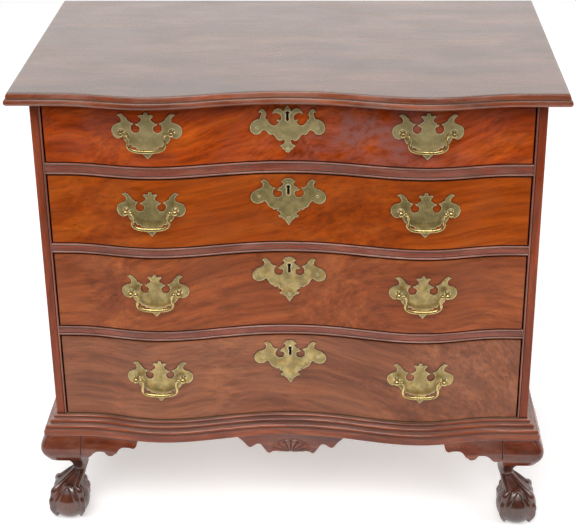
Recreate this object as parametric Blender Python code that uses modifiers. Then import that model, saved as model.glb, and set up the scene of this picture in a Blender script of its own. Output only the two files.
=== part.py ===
"""Oxbow chest of drawers on claw-and-ball feet, modelled piece by piece.

Metres, +Z up, the front faces -Y.  The origin is on the floor, under the
middle of the whole chest.  Lines along the front follow one plan curve, the
oxbow: a swell to each side of a hollow in the middle.
"""
import math

import bmesh
import bpy
from mathutils import Matrix, Vector

# Fit between pieces
SEAM = 0.0003
DRAWER_SIDE_GAP = 0.0022
DRAWER_TOP_GAP = 0.0020
DRAWER_FOOT_GAP = 0.0012
UNDER_TOP_GAP = 0.0035

# Case
CASE_WIDTH = 0.872
CASE_DEPTH = 0.505
SIDE_THICKNESS = 0.0185
BACK_THICKNESS = 0.012
BACK_GROOVE = 0.002
CASE_BOTTOM_THICKNESS = 0.0165
BEAD_WIDTH = 0.0035
BEAD_PROUD = 0.0020

# Oxbow plan curve of the front
OXBOW_SWELL = 0.020
OXBOW_HOLLOW = 0.0115
OXBOW_APEX_INSET = 0.200
OXBOW_END_INSET = 0.051
OXBOW_SKEW = 1.1
OXBOW_INNER_STEPS = 8
OXBOW_OUTER_STEPS = 6

# Top board
TOP_THICKNESS = 0.022
TOP_FRONT_OVERHANG = 0.041
TOP_SIDE_OVERHANG = 0.034
TOP_BACK_OVERHANG = 0.008
TOP_EDGE_INSET = 0.0085
TOP_FILLET = 0.0050
TOP_NOSE_DROP = 0.0165
TOP_NOSE_RETURN = 0.0040

# Drawers, listed from the top one down
DRAWER_HEIGHTS = (0.1121, 0.1290, 0.1448, 0.1645)
DIVIDER_HEIGHTS = (0.0208, 0.0178, 0.0178)
DIVIDER_DEPTH = 0.062
RUNNER_WIDTH = 0.030
RUNNER_HEIGHT = 0.0145
RUNNER_BACK_GAP = 0.002
DRAWER_FRONT_THICKNESS = 0.022
DRAWER_SIDE_THICKNESS = 0.012
DRAWER_BACK_THICKNESS = 0.011
DRAWER_BACK_CLEARANCE = 0.013
DRAWER_SIDE_LAP = 0.021
DRAWER_SIDE_DROP = 0.004
DRAWER_BOTTOM_THICKNESS = 0.008
DRAWER_BOTTOM_RAISE = 0.008
DRAWER_GROOVE = 0.005

# Base moulding and its frame
FOOT_HEIGHT = 0.190
BASE_HEIGHT = 0.0328
BASE_FASCIA_HEIGHT = 0.0110
BASE_PROUD = 0.0255
BASE_SIDE_SHARE = 0.843
BASE_BEAD_PROUD = 0.0065
BASE_OVOLO_PROUD = 0.0135
BASE_TORUS_PROUD = 0.0225
BASE_FRAME_WIDTH = 0.035
BASE_FRAME_HEIGHT = 0.0160

# Knees, brackets and claw-and-ball feet
FOOT_SIDE_INSET = 0.0040
KNEE_DEPTH = 0.0585
KNEE_PROUD = 0.0225
KNEE_BULGE = 0.0140
KNEE_INNER = 0.0425
BRACKET_LENGTH = 0.1073
BRACKET_DROP = 0.0420
BRACKET_BACK = 0.0010
BALL_RADIUS = 0.0382
BALL_CENTRE_HEIGHT = 0.0345
BALL_SIDE_INSET = 0.0065
TALON_PROUD = 0.0060
KNUCKLE_PROUD = 0.0095
ANKLE_RADIUS = 0.0150
ANKLE_SETBACK = 0.0272
ANKLE_HEIGHT = 0.0940
REAR_FOOT_INSET = 0.030
TALON_ANGLE = 45
TALON_SPREAD = 14

# Shell pendant
PENDANT_WIDTH = 0.1970
PENDANT_DROP = 0.0400
PENDANT_SETBACK = 0.0015
PENDANT_THICKNESS = 0.019

# Brass
PLATE_THICKNESS = 0.0015
PLATE_HEIGHT = 0.0840
PLATE_TOP_RISE = 0.0430
POST_SPACING = 0.0850
POST_DROP = 0.0350
POST_LENGTH = 0.0150
POST_BALL_RADIUS = 0.0056
POST_NECK_RADIUS = 0.0030
POST_EYE_CLEARANCE = 0.0006
BAIL_ROD = 0.0042
BAIL_DROP = 0.0345
BAIL_PIN_DEPTH = 0.0036
WILLOW_HEIGHT = 0.0890
HORNED_HEIGHT = 0.0850
ESCUTCHEON_DROPS = (0.0116, 0.0080, 0.0086, 0.0112)
KEYHOLE_DROPS = (0.0246, 0.0240, 0.0246, 0.0272)
KEYHOLE_RADIUS = 0.0034
KEYHOLE_SLOT = 0.0056
KEYHOLE_LENGTH = 0.0190

# Locks
LOCK_WIDTH = 0.060
LOCK_HEIGHT = 0.046
LOCK_DEPTH = 0.009
BOLT_WIDTH = 0.016
BOLT_THICKNESS = 0.0045
BOLT_LENGTH = 0.020
BOLT_TRAVEL = 0.009
BOLT_SLIDE_GAP = 0.0004
MORTISE_SPARE = 0.0015

# Colours
MAHOGANY = (0.27, 0.085, 0.035)
DARK_MAHOGANY = (0.15, 0.045, 0.022)
PINE = (0.47, 0.31, 0.17)
BRASS = (0.55, 0.44, 0.17)
IRON = (0.11, 0.10, 0.09)

# Derived places
HALF = CASE_WIDTH / 2
INNER_HALF = HALF - SIDE_THICKNESS
OXBOW_APEX_X = HALF - OXBOW_APEX_INSET
OXBOW_END_X = HALF - OXBOW_END_INSET
DEPTH_SPAN = CASE_DEPTH + TOP_BACK_OVERHANG - TOP_FRONT_OVERHANG - OXBOW_SWELL
FRONT_Y = -DEPTH_SPAN / 2
BACK_Y = FRONT_Y + CASE_DEPTH
BASE_TOP = FOOT_HEIGHT + BASE_HEIGHT
FRAME_TOP = FOOT_HEIGHT + BASE_FRAME_HEIGHT
FLOOR_OF_CASE = FRAME_TOP + SEAM + CASE_BOTTOM_THICKNESS
DRAWER_HALF = INNER_HALF - DRAWER_SIDE_GAP
DRAWER_INNER_Y = FRONT_Y + OXBOW_HOLLOW + DRAWER_FRONT_THICKNESS
DRAWER_BACK_Y = BACK_Y - BACK_THICKNESS - DRAWER_BACK_CLEARANCE
BOX_HALF = DRAWER_HALF - SEAM
BOX_INNER_HALF = BOX_HALF - DRAWER_SIDE_THICKNESS
COUNT = len(DRAWER_HEIGHTS)


def drawer_levels():
    """Bottom height of each drawer front and of each divider, and the case top."""
    fronts = [0.0] * COUNT
    dividers = [0.0] * (COUNT - 1)
    z = FLOOR_OF_CASE + DRAWER_FOOT_GAP
    for i in reversed(range(COUNT)):
        fronts[i] = z
        z += DRAWER_HEIGHTS[i]
        if i:
            dividers[i - 1] = z + DRAWER_TOP_GAP
            z = dividers[i - 1] + DIVIDER_HEIGHTS[i - 1] + DRAWER_FOOT_GAP
    return fronts, dividers, z + UNDER_TOP_GAP


FRONT_Z, DIVIDER_Z, CASE_TOP = drawer_levels()
TOP_SURFACE = CASE_TOP + TOP_THICKNESS

for leftover in list(bpy.data.objects):
    bpy.data.objects.remove(leftover)
PARTS = bpy.data.collections.new("oxbow_chest")
TOOLS = bpy.data.collections.new("cutters")
bpy.context.scene.collection.children.link(PARTS)
bpy.context.scene.collection.children.link(TOOLS)
TURNS = {
    "plan": (0.0, 0.0, 0.0),
    "front": (math.pi / 2, 0.0, 0.0),
    "side": (math.pi / 2, 0.0, math.pi / 2),
}


def oxbow(x):
    """Depth of the front line behind the case front; the swells are negative."""
    x = abs(x)
    if x >= OXBOW_END_X:
        return 0.0
    if x >= OXBOW_APEX_X:
        t = (x - OXBOW_APEX_X) / (OXBOW_END_X - OXBOW_APEX_X)
        return -OXBOW_SWELL * (1 + math.cos(math.pi * t)) / 2
    t = (x / OXBOW_APEX_X) ** OXBOW_SKEW
    return OXBOW_HOLLOW - (OXBOW_SWELL + OXBOW_HOLLOW) * (1 - math.cos(math.pi * t)) / 2


def half_stations():
    inner = [OXBOW_APEX_X * i / OXBOW_INNER_STEPS for i in range(OXBOW_INNER_STEPS)]
    reach = OXBOW_END_X - OXBOW_APEX_X
    outer = [OXBOW_APEX_X + reach * i / OXBOW_OUTER_STEPS for i in range(OXBOW_OUTER_STEPS + 1)]
    return inner + outer


STATIONS = [-x for x in reversed(half_stations()[1:])] + half_stations()


def chord(x):
    """The oxbow as the straight facets between the stations."""
    if abs(x) >= OXBOW_END_X:
        return 0.0
    for a, b in zip(STATIONS, STATIONS[1:]):
        if a <= x <= b:
            t = (x - a) / (b - a)
            return oxbow(a) * (1 - t) + oxbow(b) * t
    return 0.0


def front_line(half, proud):
    """Plan points along the front from left to right, standing proud of the case."""
    xs = [-half] + [x for x in STATIONS if abs(x) < half - SEAM] + [half]
    return [(x, FRONT_Y - proud + chord(x)) for x in xs]


def material(name, colour, roughness, metallic):
    made = bpy.data.materials.new(name)
    made.use_nodes = True
    shader = made.node_tree.nodes["Principled BSDF"]
    shader.inputs["Base Color"].default_value = (*colour, 1.0)
    shader.inputs["Roughness"].default_value = roughness
    shader.inputs["Metallic"].default_value = metallic
    return made


SHARP_ANGLE = math.radians(38)
FINISHES = {
    "mahogany": (MAHOGANY, 0.30, 0.0),
    "dark": (DARK_MAHOGANY, 0.25, 0.0),
    "pine": (PINE, 0.60, 0.0),
    "brass": (BRASS, 0.35, 1.0),
    "iron": (IRON, 0.50, 1.0),
}


def part(obj, finish, origin=(0, 0, 0), parent=None):
    """Name the material, move the origin to its place and hang it on its parent."""
    obj.data.materials.clear()
    obj.data.materials.append(material(obj.name, *FINISHES[finish]))
    if obj.type == "MESH":
        obj.data.transform(Matrix.Translation(-Vector(origin)))
        obj.data.shade_smooth()
        obj.data.set_sharp_from_angle(angle=SHARP_ANGLE)
    base = Vector(parent.location) if parent else Vector()
    obj.parent = parent
    obj.location = Vector(origin) - base
    return obj


def tool(obj):
    """Keep a cutter or a joined shape out of the parts."""
    PARTS.objects.unlink(obj)
    TOOLS.objects.link(obj)
    obj.hide_render = True
    obj.display_type = "WIRE"
    return obj


def combine(obj, other, operation):
    modifier = obj.modifiers.new(other.name, "BOOLEAN")
    modifier.operation = operation
    modifier.solver = "EXACT"
    modifier.object = other


def cut(obj, other):
    combine(obj, tool(other), "DIFFERENCE")


def fuse(obj, other):
    combine(obj, tool(other), "UNION")


def mesh_object(name, bm):
    bmesh.ops.recalc_face_normals(bm, faces=bm.faces)
    mesh = bpy.data.meshes.new(name)
    bm.to_mesh(mesh)
    bm.free()
    obj = bpy.data.objects.new(name, mesh)
    PARTS.objects.link(obj)
    return obj


def box(name, low, high):
    low = Vector(low)
    high = Vector(high)
    bm = bmesh.new()
    middle = Matrix.Translation((low + high) / 2)
    size = Matrix.Diagonal((*(high - low), 1.0))
    bmesh.ops.create_cube(bm, size=1.0, matrix=middle @ size)
    return mesh_object(name, bm)


def baked(obj):
    """The evaluated shape as a welded mesh object in world space."""
    bpy.context.view_layer.update()
    graph = bpy.context.evaluated_depsgraph_get()
    mesh = bpy.data.meshes.new_from_object(obj.evaluated_get(graph))
    mesh.transform(obj.matrix_world)
    bm = bmesh.new()
    bm.from_mesh(mesh)
    bmesh.ops.remove_doubles(bm, verts=bm.verts, dist=1e-6)
    name = obj.name
    bpy.data.objects.remove(obj)
    bpy.data.meshes.remove(mesh)
    return mesh_object(name, bm)


def prism(name, outlines, depth, plane, centre):
    """A flat outline, with any inner outlines as holes, given a thickness."""
    curve = bpy.data.curves.new(name, "CURVE")
    curve.dimensions = "2D"
    curve.fill_mode = "BOTH"
    curve.extrude = depth / 2
    for outline in outlines:
        spline = curve.splines.new("POLY")
        spline.points.add(len(outline) - 1)
        for point, (u, v) in zip(spline.points, outline):
            point.co = (u, v, 0.0, 1.0)
        spline.use_cyclic_u = True
    obj = bpy.data.objects.new(name, curve)
    PARTS.objects.link(obj)
    obj.rotation_euler = TURNS[plane]
    obj.location = centre
    return baked(obj)


def plan_prism(name, outline, low, high):
    return prism(name, [outline], high - low, "plan", (0.0, 0.0, (low + high) / 2))


def loft(name, sections):
    """A skin through closed sections of equal point counts, closed at both ends."""
    bm = bmesh.new()
    rings = [[bm.verts.new(point) for point in section] for section in sections]
    count = len(rings[0])
    for near, far in zip(rings, rings[1:]):
        for i in range(count):
            j = (i + 1) % count
            bm.faces.new((near[i], near[j], far[j], far[i]))
    bm.faces.new(rings[0])
    bm.faces.new(rings[-1])
    return mesh_object(name, bm)


def turned(name, profile, sides):
    """A turned shape about +Z from (radius, height) points listed from the top down."""
    mesh = bpy.data.meshes.new(name)
    points = [(radius, 0.0, height) for radius, height in profile]
    mesh.from_pydata(points, [(i, i + 1) for i in range(len(points) - 1)], [])
    obj = bpy.data.objects.new(name, mesh)
    PARTS.objects.link(obj)
    screw = obj.modifiers.new("turn", "SCREW")
    screw.axis = "Z"
    screw.steps = sides
    screw.render_steps = sides
    screw.use_merge_vertices = True
    screw.merge_threshold = 1e-5
    return obj


def follow_front(obj):
    """Bend a flat piece to the facets of the front line."""
    bm = bmesh.new()
    bm.from_mesh(obj.data)
    reach = [v.co.x for v in bm.verts]
    for x in STATIONS:
        if min(reach) < x < max(reach):
            geometry = bm.verts[:] + bm.edges[:] + bm.faces[:]
            bmesh.ops.bisect_plane(bm, geom=geometry, dist=1e-6, plane_co=(x, 0, 0), plane_no=(1, 0, 0))
    for vertex in bm.verts:
        vertex.co.y += chord(vertex.co.x)
    bm.to_mesh(obj.data)
    bm.free()
    return obj


def mirrored(half):
    """Close a half outline, listed from top to tip at +X, by its mirror image."""
    return half + [(-x, z) for x, z in reversed(half) if abs(x) > 1e-9]


def arc(cx, cz, radius, start, end, steps):
    angles = [math.radians(start + (end - start) * i / steps) for i in range(steps + 1)]
    return [(cx + radius * math.cos(a), cz + radius * math.sin(a)) for a in angles]


def drawn_to(points, height, x0, top):
    """An outline brought to a given height, with its highest point at top."""
    levels = [z for x, z in points]
    unit = height / (max(levels) - min(levels))
    return [(x0 + x * unit, top + (z - max(levels)) * unit) for x, z in points]


# Case


def make_top():
    quarter = [math.pi / 2 * i / 3 for i in range(4)]
    rise = TOP_NOSE_DROP - TOP_FILLET
    fall = TOP_THICKNESS - TOP_NOSE_DROP
    levels = [(TOP_EDGE_INSET, 0.0)]
    levels += [(TOP_EDGE_INSET * (1 - math.sin(a)), TOP_FILLET + rise * (1 - math.cos(a))) for a in quarter]
    levels += [(TOP_NOSE_RETURN * (1 - math.cos(a)), TOP_NOSE_DROP + fall * math.sin(a)) for a in quarter[1:]]
    sections = []
    back = BACK_Y + TOP_BACK_OVERHANG
    for inset, drop in levels:
        half = HALF + TOP_SIDE_OVERHANG - inset
        outline = [(-half, back)] + front_line(half, TOP_FRONT_OVERHANG - inset) + [(half, back)]
        sections.append([(x, y, TOP_SURFACE - drop) for x, y in outline])
    return loft("top", sections)


def make_side(name, sign):
    inner = HALF - SIDE_THICKNESS
    bead = inner + BEAD_WIDTH
    outline = [
        (sign * HALF, FRONT_Y),
        (sign * bead, FRONT_Y),
        (sign * bead, FRONT_Y - BEAD_PROUD),
        (sign * inner, FRONT_Y - BEAD_PROUD),
        (sign * inner, BACK_Y),
        (sign * HALF, BACK_Y),
    ]
    side = plan_prism(name, outline, FRAME_TOP + SEAM, CASE_TOP - SEAM)
    low = (sign * HALF - SIDE_THICKNESS * 2, FRONT_Y - BEAD_PROUD * 2, FOOT_HEIGHT)
    high = (sign * HALF + SIDE_THICKNESS * 2, FRONT_Y, BASE_TOP + SEAM)
    cut(side, box(name + "_foot_cut", low, high))
    return side


def make_case_bottom():
    half = INNER_HALF - SEAM
    back = BACK_Y - BACK_THICKNESS - SEAM
    outline = [(-half, back)] + front_line(half, 0.0) + [(half, back)]
    return plan_prism("case_bottom", outline, FRAME_TOP + SEAM, FLOOR_OF_CASE)


def make_back():
    """Three horizontal boards shown by the grooves between them."""
    low = FRAME_TOP + SEAM
    high = CASE_TOP - SEAM
    inner = BACK_Y - BACK_THICKNESS
    outline = [(inner, low), (inner, high), (BACK_Y, high)]
    for share in (2, 1):
        z = low + (high - low) * share / 3
        outline += [(BACK_Y, z + BACK_GROOVE), (BACK_Y - BACK_GROOVE, z), (BACK_Y, z - BACK_GROOVE)]
    outline.append((BACK_Y, low))
    return prism("back_panel", [outline], 2 * (INNER_HALF - SEAM), "side", (0.0, 0.0, 0.0))


def make_divider(index):
    """A rail with a bead on both edges, and the two runners tenoned into it."""
    low = DIVIDER_Z[index]
    high = low + DIVIDER_HEIGHTS[index]
    back = FRONT_Y + DIVIDER_DEPTH
    sections = []
    for x, y in front_line(INNER_HALF - SEAM, 0.0):
        proud = y - BEAD_PROUD
        profile = [(back, low), (proud, low), (proud, low + BEAD_WIDTH), (y, low + BEAD_WIDTH)]
        profile += [(y, high - BEAD_WIDTH), (proud, high - BEAD_WIDTH), (proud, high), (back, high)]
        sections.append([(x, v, w) for v, w in profile])
    name = "divider_%d" % (index + 1)
    rail = loft(name, sections)
    end = BACK_Y - BACK_THICKNESS - RUNNER_BACK_GAP
    for sign in (-1, 1):
        near = sign * (INNER_HALF - SEAM)
        far = sign * (INNER_HALF - RUNNER_WIDTH)
        corner = (min(near, far), back - DIVIDER_DEPTH / 3, high - RUNNER_HEIGHT)
        fuse(rail, box("%s_runner_%d" % (name, sign), corner, (max(near, far), end, high)))
    return rail


def base_profile():
    """Outer line of the base moulding as (proud, height), from the top down."""
    top = BASE_TOP
    fascia = FOOT_HEIGHT + BASE_FASCIA_HEIGHT
    run = top - fascia
    return [
        (SEAM, top),
        (BASE_BEAD_PROUD, top - run * 0.10),
        (BASE_BEAD_PROUD, top - run * 0.24),
        (BASE_OVOLO_PROUD - BASE_BEAD_PROUD / 2, top - run * 0.38),
        (BASE_OVOLO_PROUD, top - run * 0.54),
        (BASE_TORUS_PROUD, top - run * 0.68),
        (BASE_TORUS_PROUD, top - run * 0.90),
        (BASE_PROUD, fascia),
        (BASE_PROUD, FOOT_HEIGHT),
    ]


def make_base():
    """The mitred base frame, moulded along its front and sides."""
    profile = base_profile()
    profile += [(-BASE_FRAME_WIDTH, FOOT_HEIGHT), (-BASE_FRAME_WIDTH, FRAME_TOP), (SEAM, FRAME_TOP)]
    sections = []
    ends = [(-1, BACK_Y), (-1, None)] + [(0, x) for x in STATIONS] + [(1, None), (1, BACK_Y)]
    for sign, value in ends:
        section = []
        for proud, z in profile:
            if sign == 0:
                section.append((value, FRONT_Y - proud + chord(value), z))
            else:
                y = FRONT_Y - proud if value is None else value
                section.append((sign * (HALF + proud * BASE_SIDE_SHARE), y, z))
        sections.append(section)
    return loft("base_molding", sections)


# Knees, brackets and feet


def knee_proud(z):
    """How far the cushion-shaped knee stands out of the case at a height."""
    t = (FOOT_HEIGHT - z) / KNEE_DEPTH
    return KNEE_PROUD + KNEE_BULGE * math.sin(math.pi * min(max(t, 0.0), 1.0))


# Lower edge of a bracket: share of its length from the knee, share of the knee's height
BRACKET_EDGE_SHARES = (
    (0.000, 0.985), (0.060, 0.997), (0.120, 1.000), (0.160, 0.908), (0.200, 0.777), (0.250, 0.669),
    (0.310, 0.623), (0.405, 0.615), (0.425, 0.685), (0.465, 0.785), (0.510, 0.808), (0.555, 0.777),
    (0.582, 0.700), (0.614, 0.654), (0.665, 0.462), (0.735, 0.342), (0.850, 0.315), (0.925, 0.331),
    (0.972, 0.246), (1.000, 0.046),
)


def make_bracket(name, sign, start, along_front):
    """A knee bracket, from its seam at the knee out to its scrolled tip."""
    sections = []
    corner_x = HALF - FOOT_SIDE_INSET
    top = FOOT_HEIGHT - SEAM
    for along, share in BRACKET_EDGE_SHARES:
        reach = BRACKET_LENGTH * along
        low = FOOT_HEIGHT - BRACKET_DROP * share
        heights = [top + (low - top) * i / 4 for i in range(5)]
        line = [(knee_proud(z), z) for z in heights] + [(BRACKET_BACK, low), (BRACKET_BACK, top)]
        if along_front:
            x = sign * (start - reach)
            sections.append([(x, FRONT_Y - proud + chord(x), z) for proud, z in line])
        else:
            sections.append([(sign * (corner_x + proud), start(reach), z) for proud, z in line])
    return loft(name, sections)


# Underside of a knee down to the ankle: share of the way down, share of the way in, squareness
KNEE_UNDERSIDE_SHARES = (
    (0.00, 0.00, 6.4), (0.09, 0.17, 5.8), (0.15, 0.40, 5.0), (0.22, 0.54, 4.2), (0.35, 0.65, 3.6),
    (0.52, 0.76, 3.1), (0.69, 0.86, 2.8), (0.86, 0.96, 2.5), (1.00, 1.00, 2.4),
)


def foot_rings():
    """Rings of a foot as (height, inner reach, outer reach, squareness, talon swell)."""
    knee_low = FOOT_HEIGHT - KNEE_DEPTH * 0.93
    rings = []
    for share in (0.0, 0.12, 0.27, 0.45, 0.63, 0.80):
        z = FOOT_HEIGHT - SEAM - (KNEE_DEPTH - SEAM) * share
        rings.append((z, KNEE_INNER, knee_proud(z), 8.0, 0.0))
    inner = ANKLE_SETBACK + ANKLE_RADIUS
    outer = ANKLE_RADIUS - ANKLE_SETBACK
    toe = knee_proud(knee_low)
    for down, inward, square in KNEE_UNDERSIDE_SHARES:
        z = knee_low + (ANKLE_HEIGHT - knee_low) * down
        near = KNEE_INNER + (inner - KNEE_INNER) * math.sin(math.pi / 2 * down)
        rings.append((z, near, toe + (outer - toe) * inward, square, 0.0))
    crown = math.radians(50)
    crown_height = BALL_CENTRE_HEIGHT + BALL_RADIUS * math.sin(crown)
    crown_reach = BALL_RADIUS * math.cos(crown)
    for t in (0.34, 0.62, 0.85):
        z = ANKLE_HEIGHT + (crown_height - ANKLE_HEIGHT) * t
        near = inner + (crown_reach - inner) * t ** 2
        far = outer + (crown_reach - outer) * t ** 2
        rings.append((z, near, far, 2.2, KNUCKLE_PROUD * t ** 2))
    for angle, knuckle in ((50, 1.0), (32, 1.1), (10, 0.75), (-14, 1.0), (-38, 0.65), (-56, 0.0)):
        a = math.radians(angle)
        share = max(0.0, a / crown)
        talon = knuckle * (TALON_PROUD + (KNUCKLE_PROUD - TALON_PROUD) * share)
        reach = BALL_RADIUS * math.cos(a)
        rings.append((BALL_CENTRE_HEIGHT + BALL_RADIUS * math.sin(a), reach, reach, 2.0, talon))
    sole = math.sqrt(BALL_RADIUS ** 2 - BALL_CENTRE_HEIGHT ** 2)
    rings.append((0.0, sole, sole, 2.0, 0.0))
    return rings


def foot_ring(z, inner, outer, square, talon):
    """Points of one ring about the foot's corner, with outward as +u and +v."""
    middle = (outer - inner) / 2
    half = (outer + inner) / 2
    points = []
    for quarter in range(4):
        for share in (None, -2.0, -1.0, 0.0, 1.0, 2.0):
            turn = 0 if share is None else TALON_ANGLE + TALON_SPREAD * share
            a = math.radians(90 * quarter + turn)
            c = abs(math.cos(a))
            s = abs(math.sin(a))
            power = min(square, 4.6) if quarter == 0 else square
            radius = half / (c ** power + s ** power) ** (1 / power)
            if share == 0.0:
                radius += talon
            points.append((middle + radius * math.cos(a), middle + radius * math.sin(a), z))
    return points


def make_foot(name, side, end):
    """A claw-and-ball foot with its knee; side and end give the corner's signs."""
    corner_y = FRONT_Y if end < 0 else BACK_Y - REAR_FOOT_INSET
    sections = []
    for ring in foot_rings():
        points = foot_ring(*ring)
        lean = BALL_SIDE_INSET * min(max((ANKLE_HEIGHT - ring[0]) / BALL_RADIUS, 0.0), 1.0)
        corner_x = HALF - FOOT_SIDE_INSET - lean
        sections.append([(side * (corner_x + u), corner_y + end * v, z) for u, v, z in points])
    return loft(name, sections)


# Pendant outline: share of its half width from the middle and share of its drop
PENDANT_EDGE_SHARES = (
    (1.000, 0.000), (0.883, 0.312), (0.812, 0.562), (0.756, 0.620), (0.700, 0.555), (0.650, 0.475),
    (0.574, 0.500), (0.497, 0.775), (0.437, 0.975), (0.381, 1.000), (0.284, 0.875), (0.203, 0.938),
    (0.127, 1.000), (0.061, 0.962), (0.000, 0.925),
)


def make_pendant():
    top = FOOT_HEIGHT - SEAM
    half = [(PENDANT_WIDTH / 2 * x, top - PENDANT_DROP * drop) for x, drop in PENDANT_EDGE_SHARES]
    middle = FRONT_Y - BASE_PROUD + PENDANT_SETBACK + PENDANT_THICKNESS / 2
    flat = prism("shell_pendant", [mirrored(half)], PENDANT_THICKNESS, "front", (0.0, middle, 0.0))
    return follow_front(flat)


# Drawers


def bolt_place(index):
    """Middle of the lock bolt in plan, and the top edge of its drawer front."""
    return DRAWER_INNER_Y - LOCK_DEPTH / 2, FRONT_Z[index] + DRAWER_HEIGHTS[index]


def make_drawer_front(index):
    low = FRONT_Z[index]
    high = low + DRAWER_HEIGHTS[index]
    outline = front_line(DRAWER_HALF, 0.0) + [(DRAWER_HALF, DRAWER_INNER_Y), (-DRAWER_HALF, DRAWER_INNER_Y)]
    name = "drawer_%d_front" % (index + 1)
    front = plan_prism(name, outline, low, high)
    lap = DRAWER_INNER_Y - DRAWER_SIDE_LAP
    past = DRAWER_INNER_Y + DRAWER_SIDE_LAP
    for sign in (-1, 1):
        near = sign * (BOX_INNER_HALF - SEAM)
        far = sign * (DRAWER_HALF + DRAWER_SIDE_THICKNESS)
        corner = (min(near, far), lap, low - DRAWER_SIDE_LAP)
        rebate_top = high - DRAWER_SIDE_DROP + SEAM
        cut(front, box("%s_lap_%d" % (name, sign), corner, (max(near, far), past, rebate_top)))
    groove_low = low - DRAWER_FOOT_GAP + SEAM + DRAWER_BOTTOM_RAISE - SEAM
    groove_high = groove_low + DRAWER_BOTTOM_THICKNESS + 2 * SEAM
    corner = (-BOX_INNER_HALF, DRAWER_INNER_Y - DRAWER_GROOVE, groove_low)
    cut(front, box(name + "_groove", corner, (BOX_INNER_HALF, past, groove_high)))
    half = LOCK_WIDTH / 2 + SEAM
    corner = (-half, DRAWER_INNER_Y - LOCK_DEPTH - SEAM, high - LOCK_HEIGHT - SEAM)
    cut(front, box(name + "_lock_bed", corner, (half, past, high + LOCK_DEPTH)))
    keyhole = keyhole_outline(key_height(index))
    depth = OXBOW_HOLLOW + OXBOW_SWELL + DRAWER_FRONT_THICKNESS
    middle = FRONT_Y + OXBOW_HOLLOW
    cut(front, prism(name + "_keyhole", [keyhole], depth, "front", (0.0, middle, 0.0)))
    return front


def make_drawer_box(index):
    """Sides and back in one, with grooves for the bottom board."""
    low = FRONT_Z[index] - DRAWER_FOOT_GAP + SEAM
    high = FRONT_Z[index] + DRAWER_HEIGHTS[index] - DRAWER_SIDE_DROP
    near = DRAWER_INNER_Y - DRAWER_SIDE_LAP + SEAM
    inner_back = DRAWER_BACK_Y - DRAWER_BACK_THICKNESS
    outline = [(-BOX_HALF, near), (-BOX_HALF, DRAWER_BACK_Y), (BOX_HALF, DRAWER_BACK_Y), (BOX_HALF, near)]
    outline += [(BOX_INNER_HALF, near), (BOX_INNER_HALF, inner_back)]
    outline += [(-BOX_INNER_HALF, inner_back), (-BOX_INNER_HALF, near)]
    name = "drawer_%d_box" % (index + 1)
    made = plan_prism(name, outline, low, high)
    groove_low = low + DRAWER_BOTTOM_RAISE - SEAM
    groove_high = groove_low + DRAWER_BOTTOM_THICKNESS + 2 * SEAM
    wide = BOX_INNER_HALF + DRAWER_GROOVE
    past = DRAWER_BACK_Y + DRAWER_BACK_THICKNESS
    start = DRAWER_INNER_Y - DRAWER_GROOVE - SEAM
    cut(made, box(name + "_groove", (-wide, start, groove_low), (wide, past, groove_high)))
    under = low - DRAWER_BOTTOM_RAISE
    foot = (-BOX_INNER_HALF, near, under)
    cut(made, box(name + "_under_back", foot, (BOX_INNER_HALF, past, (groove_low + groove_high) / 2)))
    return made


def make_drawer_bottom(index):
    low = FRONT_Z[index] - DRAWER_FOOT_GAP + SEAM + DRAWER_BOTTOM_RAISE
    half = BOX_INNER_HALF + DRAWER_GROOVE - SEAM
    near = DRAWER_INNER_Y - DRAWER_GROOVE + SEAM
    inner = BOX_INNER_HALF - SEAM
    step = DRAWER_INNER_Y + SEAM
    outline = [(-half, step), (-inner, step), (-inner, near), (inner, near), (inner, step), (half, step)]
    outline += [(half, DRAWER_BACK_Y), (-half, DRAWER_BACK_Y)]
    return plan_prism("drawer_%d_bottom" % (index + 1), outline, low, low + DRAWER_BOTTOM_THICKNESS)


# Locks


def make_lock(index):
    middle, high = bolt_place(index)
    half = LOCK_WIDTH / 2
    name = "lock_%d" % (index + 1)
    low = (-half, DRAWER_INNER_Y - LOCK_DEPTH, high - LOCK_HEIGHT)
    lock = box(name, low, (half, DRAWER_INNER_Y, high))
    wide = BOLT_WIDTH / 2 + BOLT_SLIDE_GAP
    thick = BOLT_THICKNESS / 2 + BOLT_SLIDE_GAP
    foot = (-wide, middle - thick, high - BOLT_LENGTH - 2 * SEAM)
    cut(lock, box(name + "_way", foot, (wide, middle + thick, high + BOLT_TRAVEL)))
    return lock


def make_bolt(index):
    middle, high = bolt_place(index)
    low = (-BOLT_WIDTH / 2, middle - BOLT_THICKNESS / 2, high - BOLT_LENGTH - SEAM)
    return box("lock_bolt_%d" % (index + 1), low, (BOLT_WIDTH / 2, middle + BOLT_THICKNESS / 2, high - SEAM))


def mortise(name, index, above):
    """The hole that a lock bolt enters in the piece above its drawer."""
    middle, high = bolt_place(index)
    wide = BOLT_WIDTH / 2 + MORTISE_SPARE
    thick = BOLT_THICKNESS / 2 + MORTISE_SPARE
    return box(name, (-wide, middle - thick, high), (wide, middle + thick, high + BOLT_TRAVEL + above))


# Brass


def plate_outline():
    """Half of a pull plate, from its finial down to its tip."""
    half = [(0.0, 0.0), (3.6, -2.8), (5.4, -6.6), (13.2, -5.8), (10.2, -11.4), (7.6, -13.0)]
    half += [(11.4, -16.8), (16.4, -19.4)]
    half += arc(17.6, -29.6, 8.2, 94, 424, 8)
    half += [(22.6, -19.6), (26.2, -19.0)]
    half += [(29.0, -15.4), (33.4, -12.6), (37.0, -8.0), (41.4, -4.6), (46.8, -4.0)]
    half += [(44.2, -9.6), (43.6, -15.6), (48.0, -21.4)]
    half += arc(46.6, -34.2, 12.4, 68, -146, 8)
    half += [(33.4, -49.6), (30.2, -57.2), (24.2, -60.0), (20.6, -62.4), (14.8, -66.0), (11.0, -67.4)]
    half += [(12.8, -71.2), (8.2, -74.4), (3.6, -80.2), (0.0, -84.0)]
    return half


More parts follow.
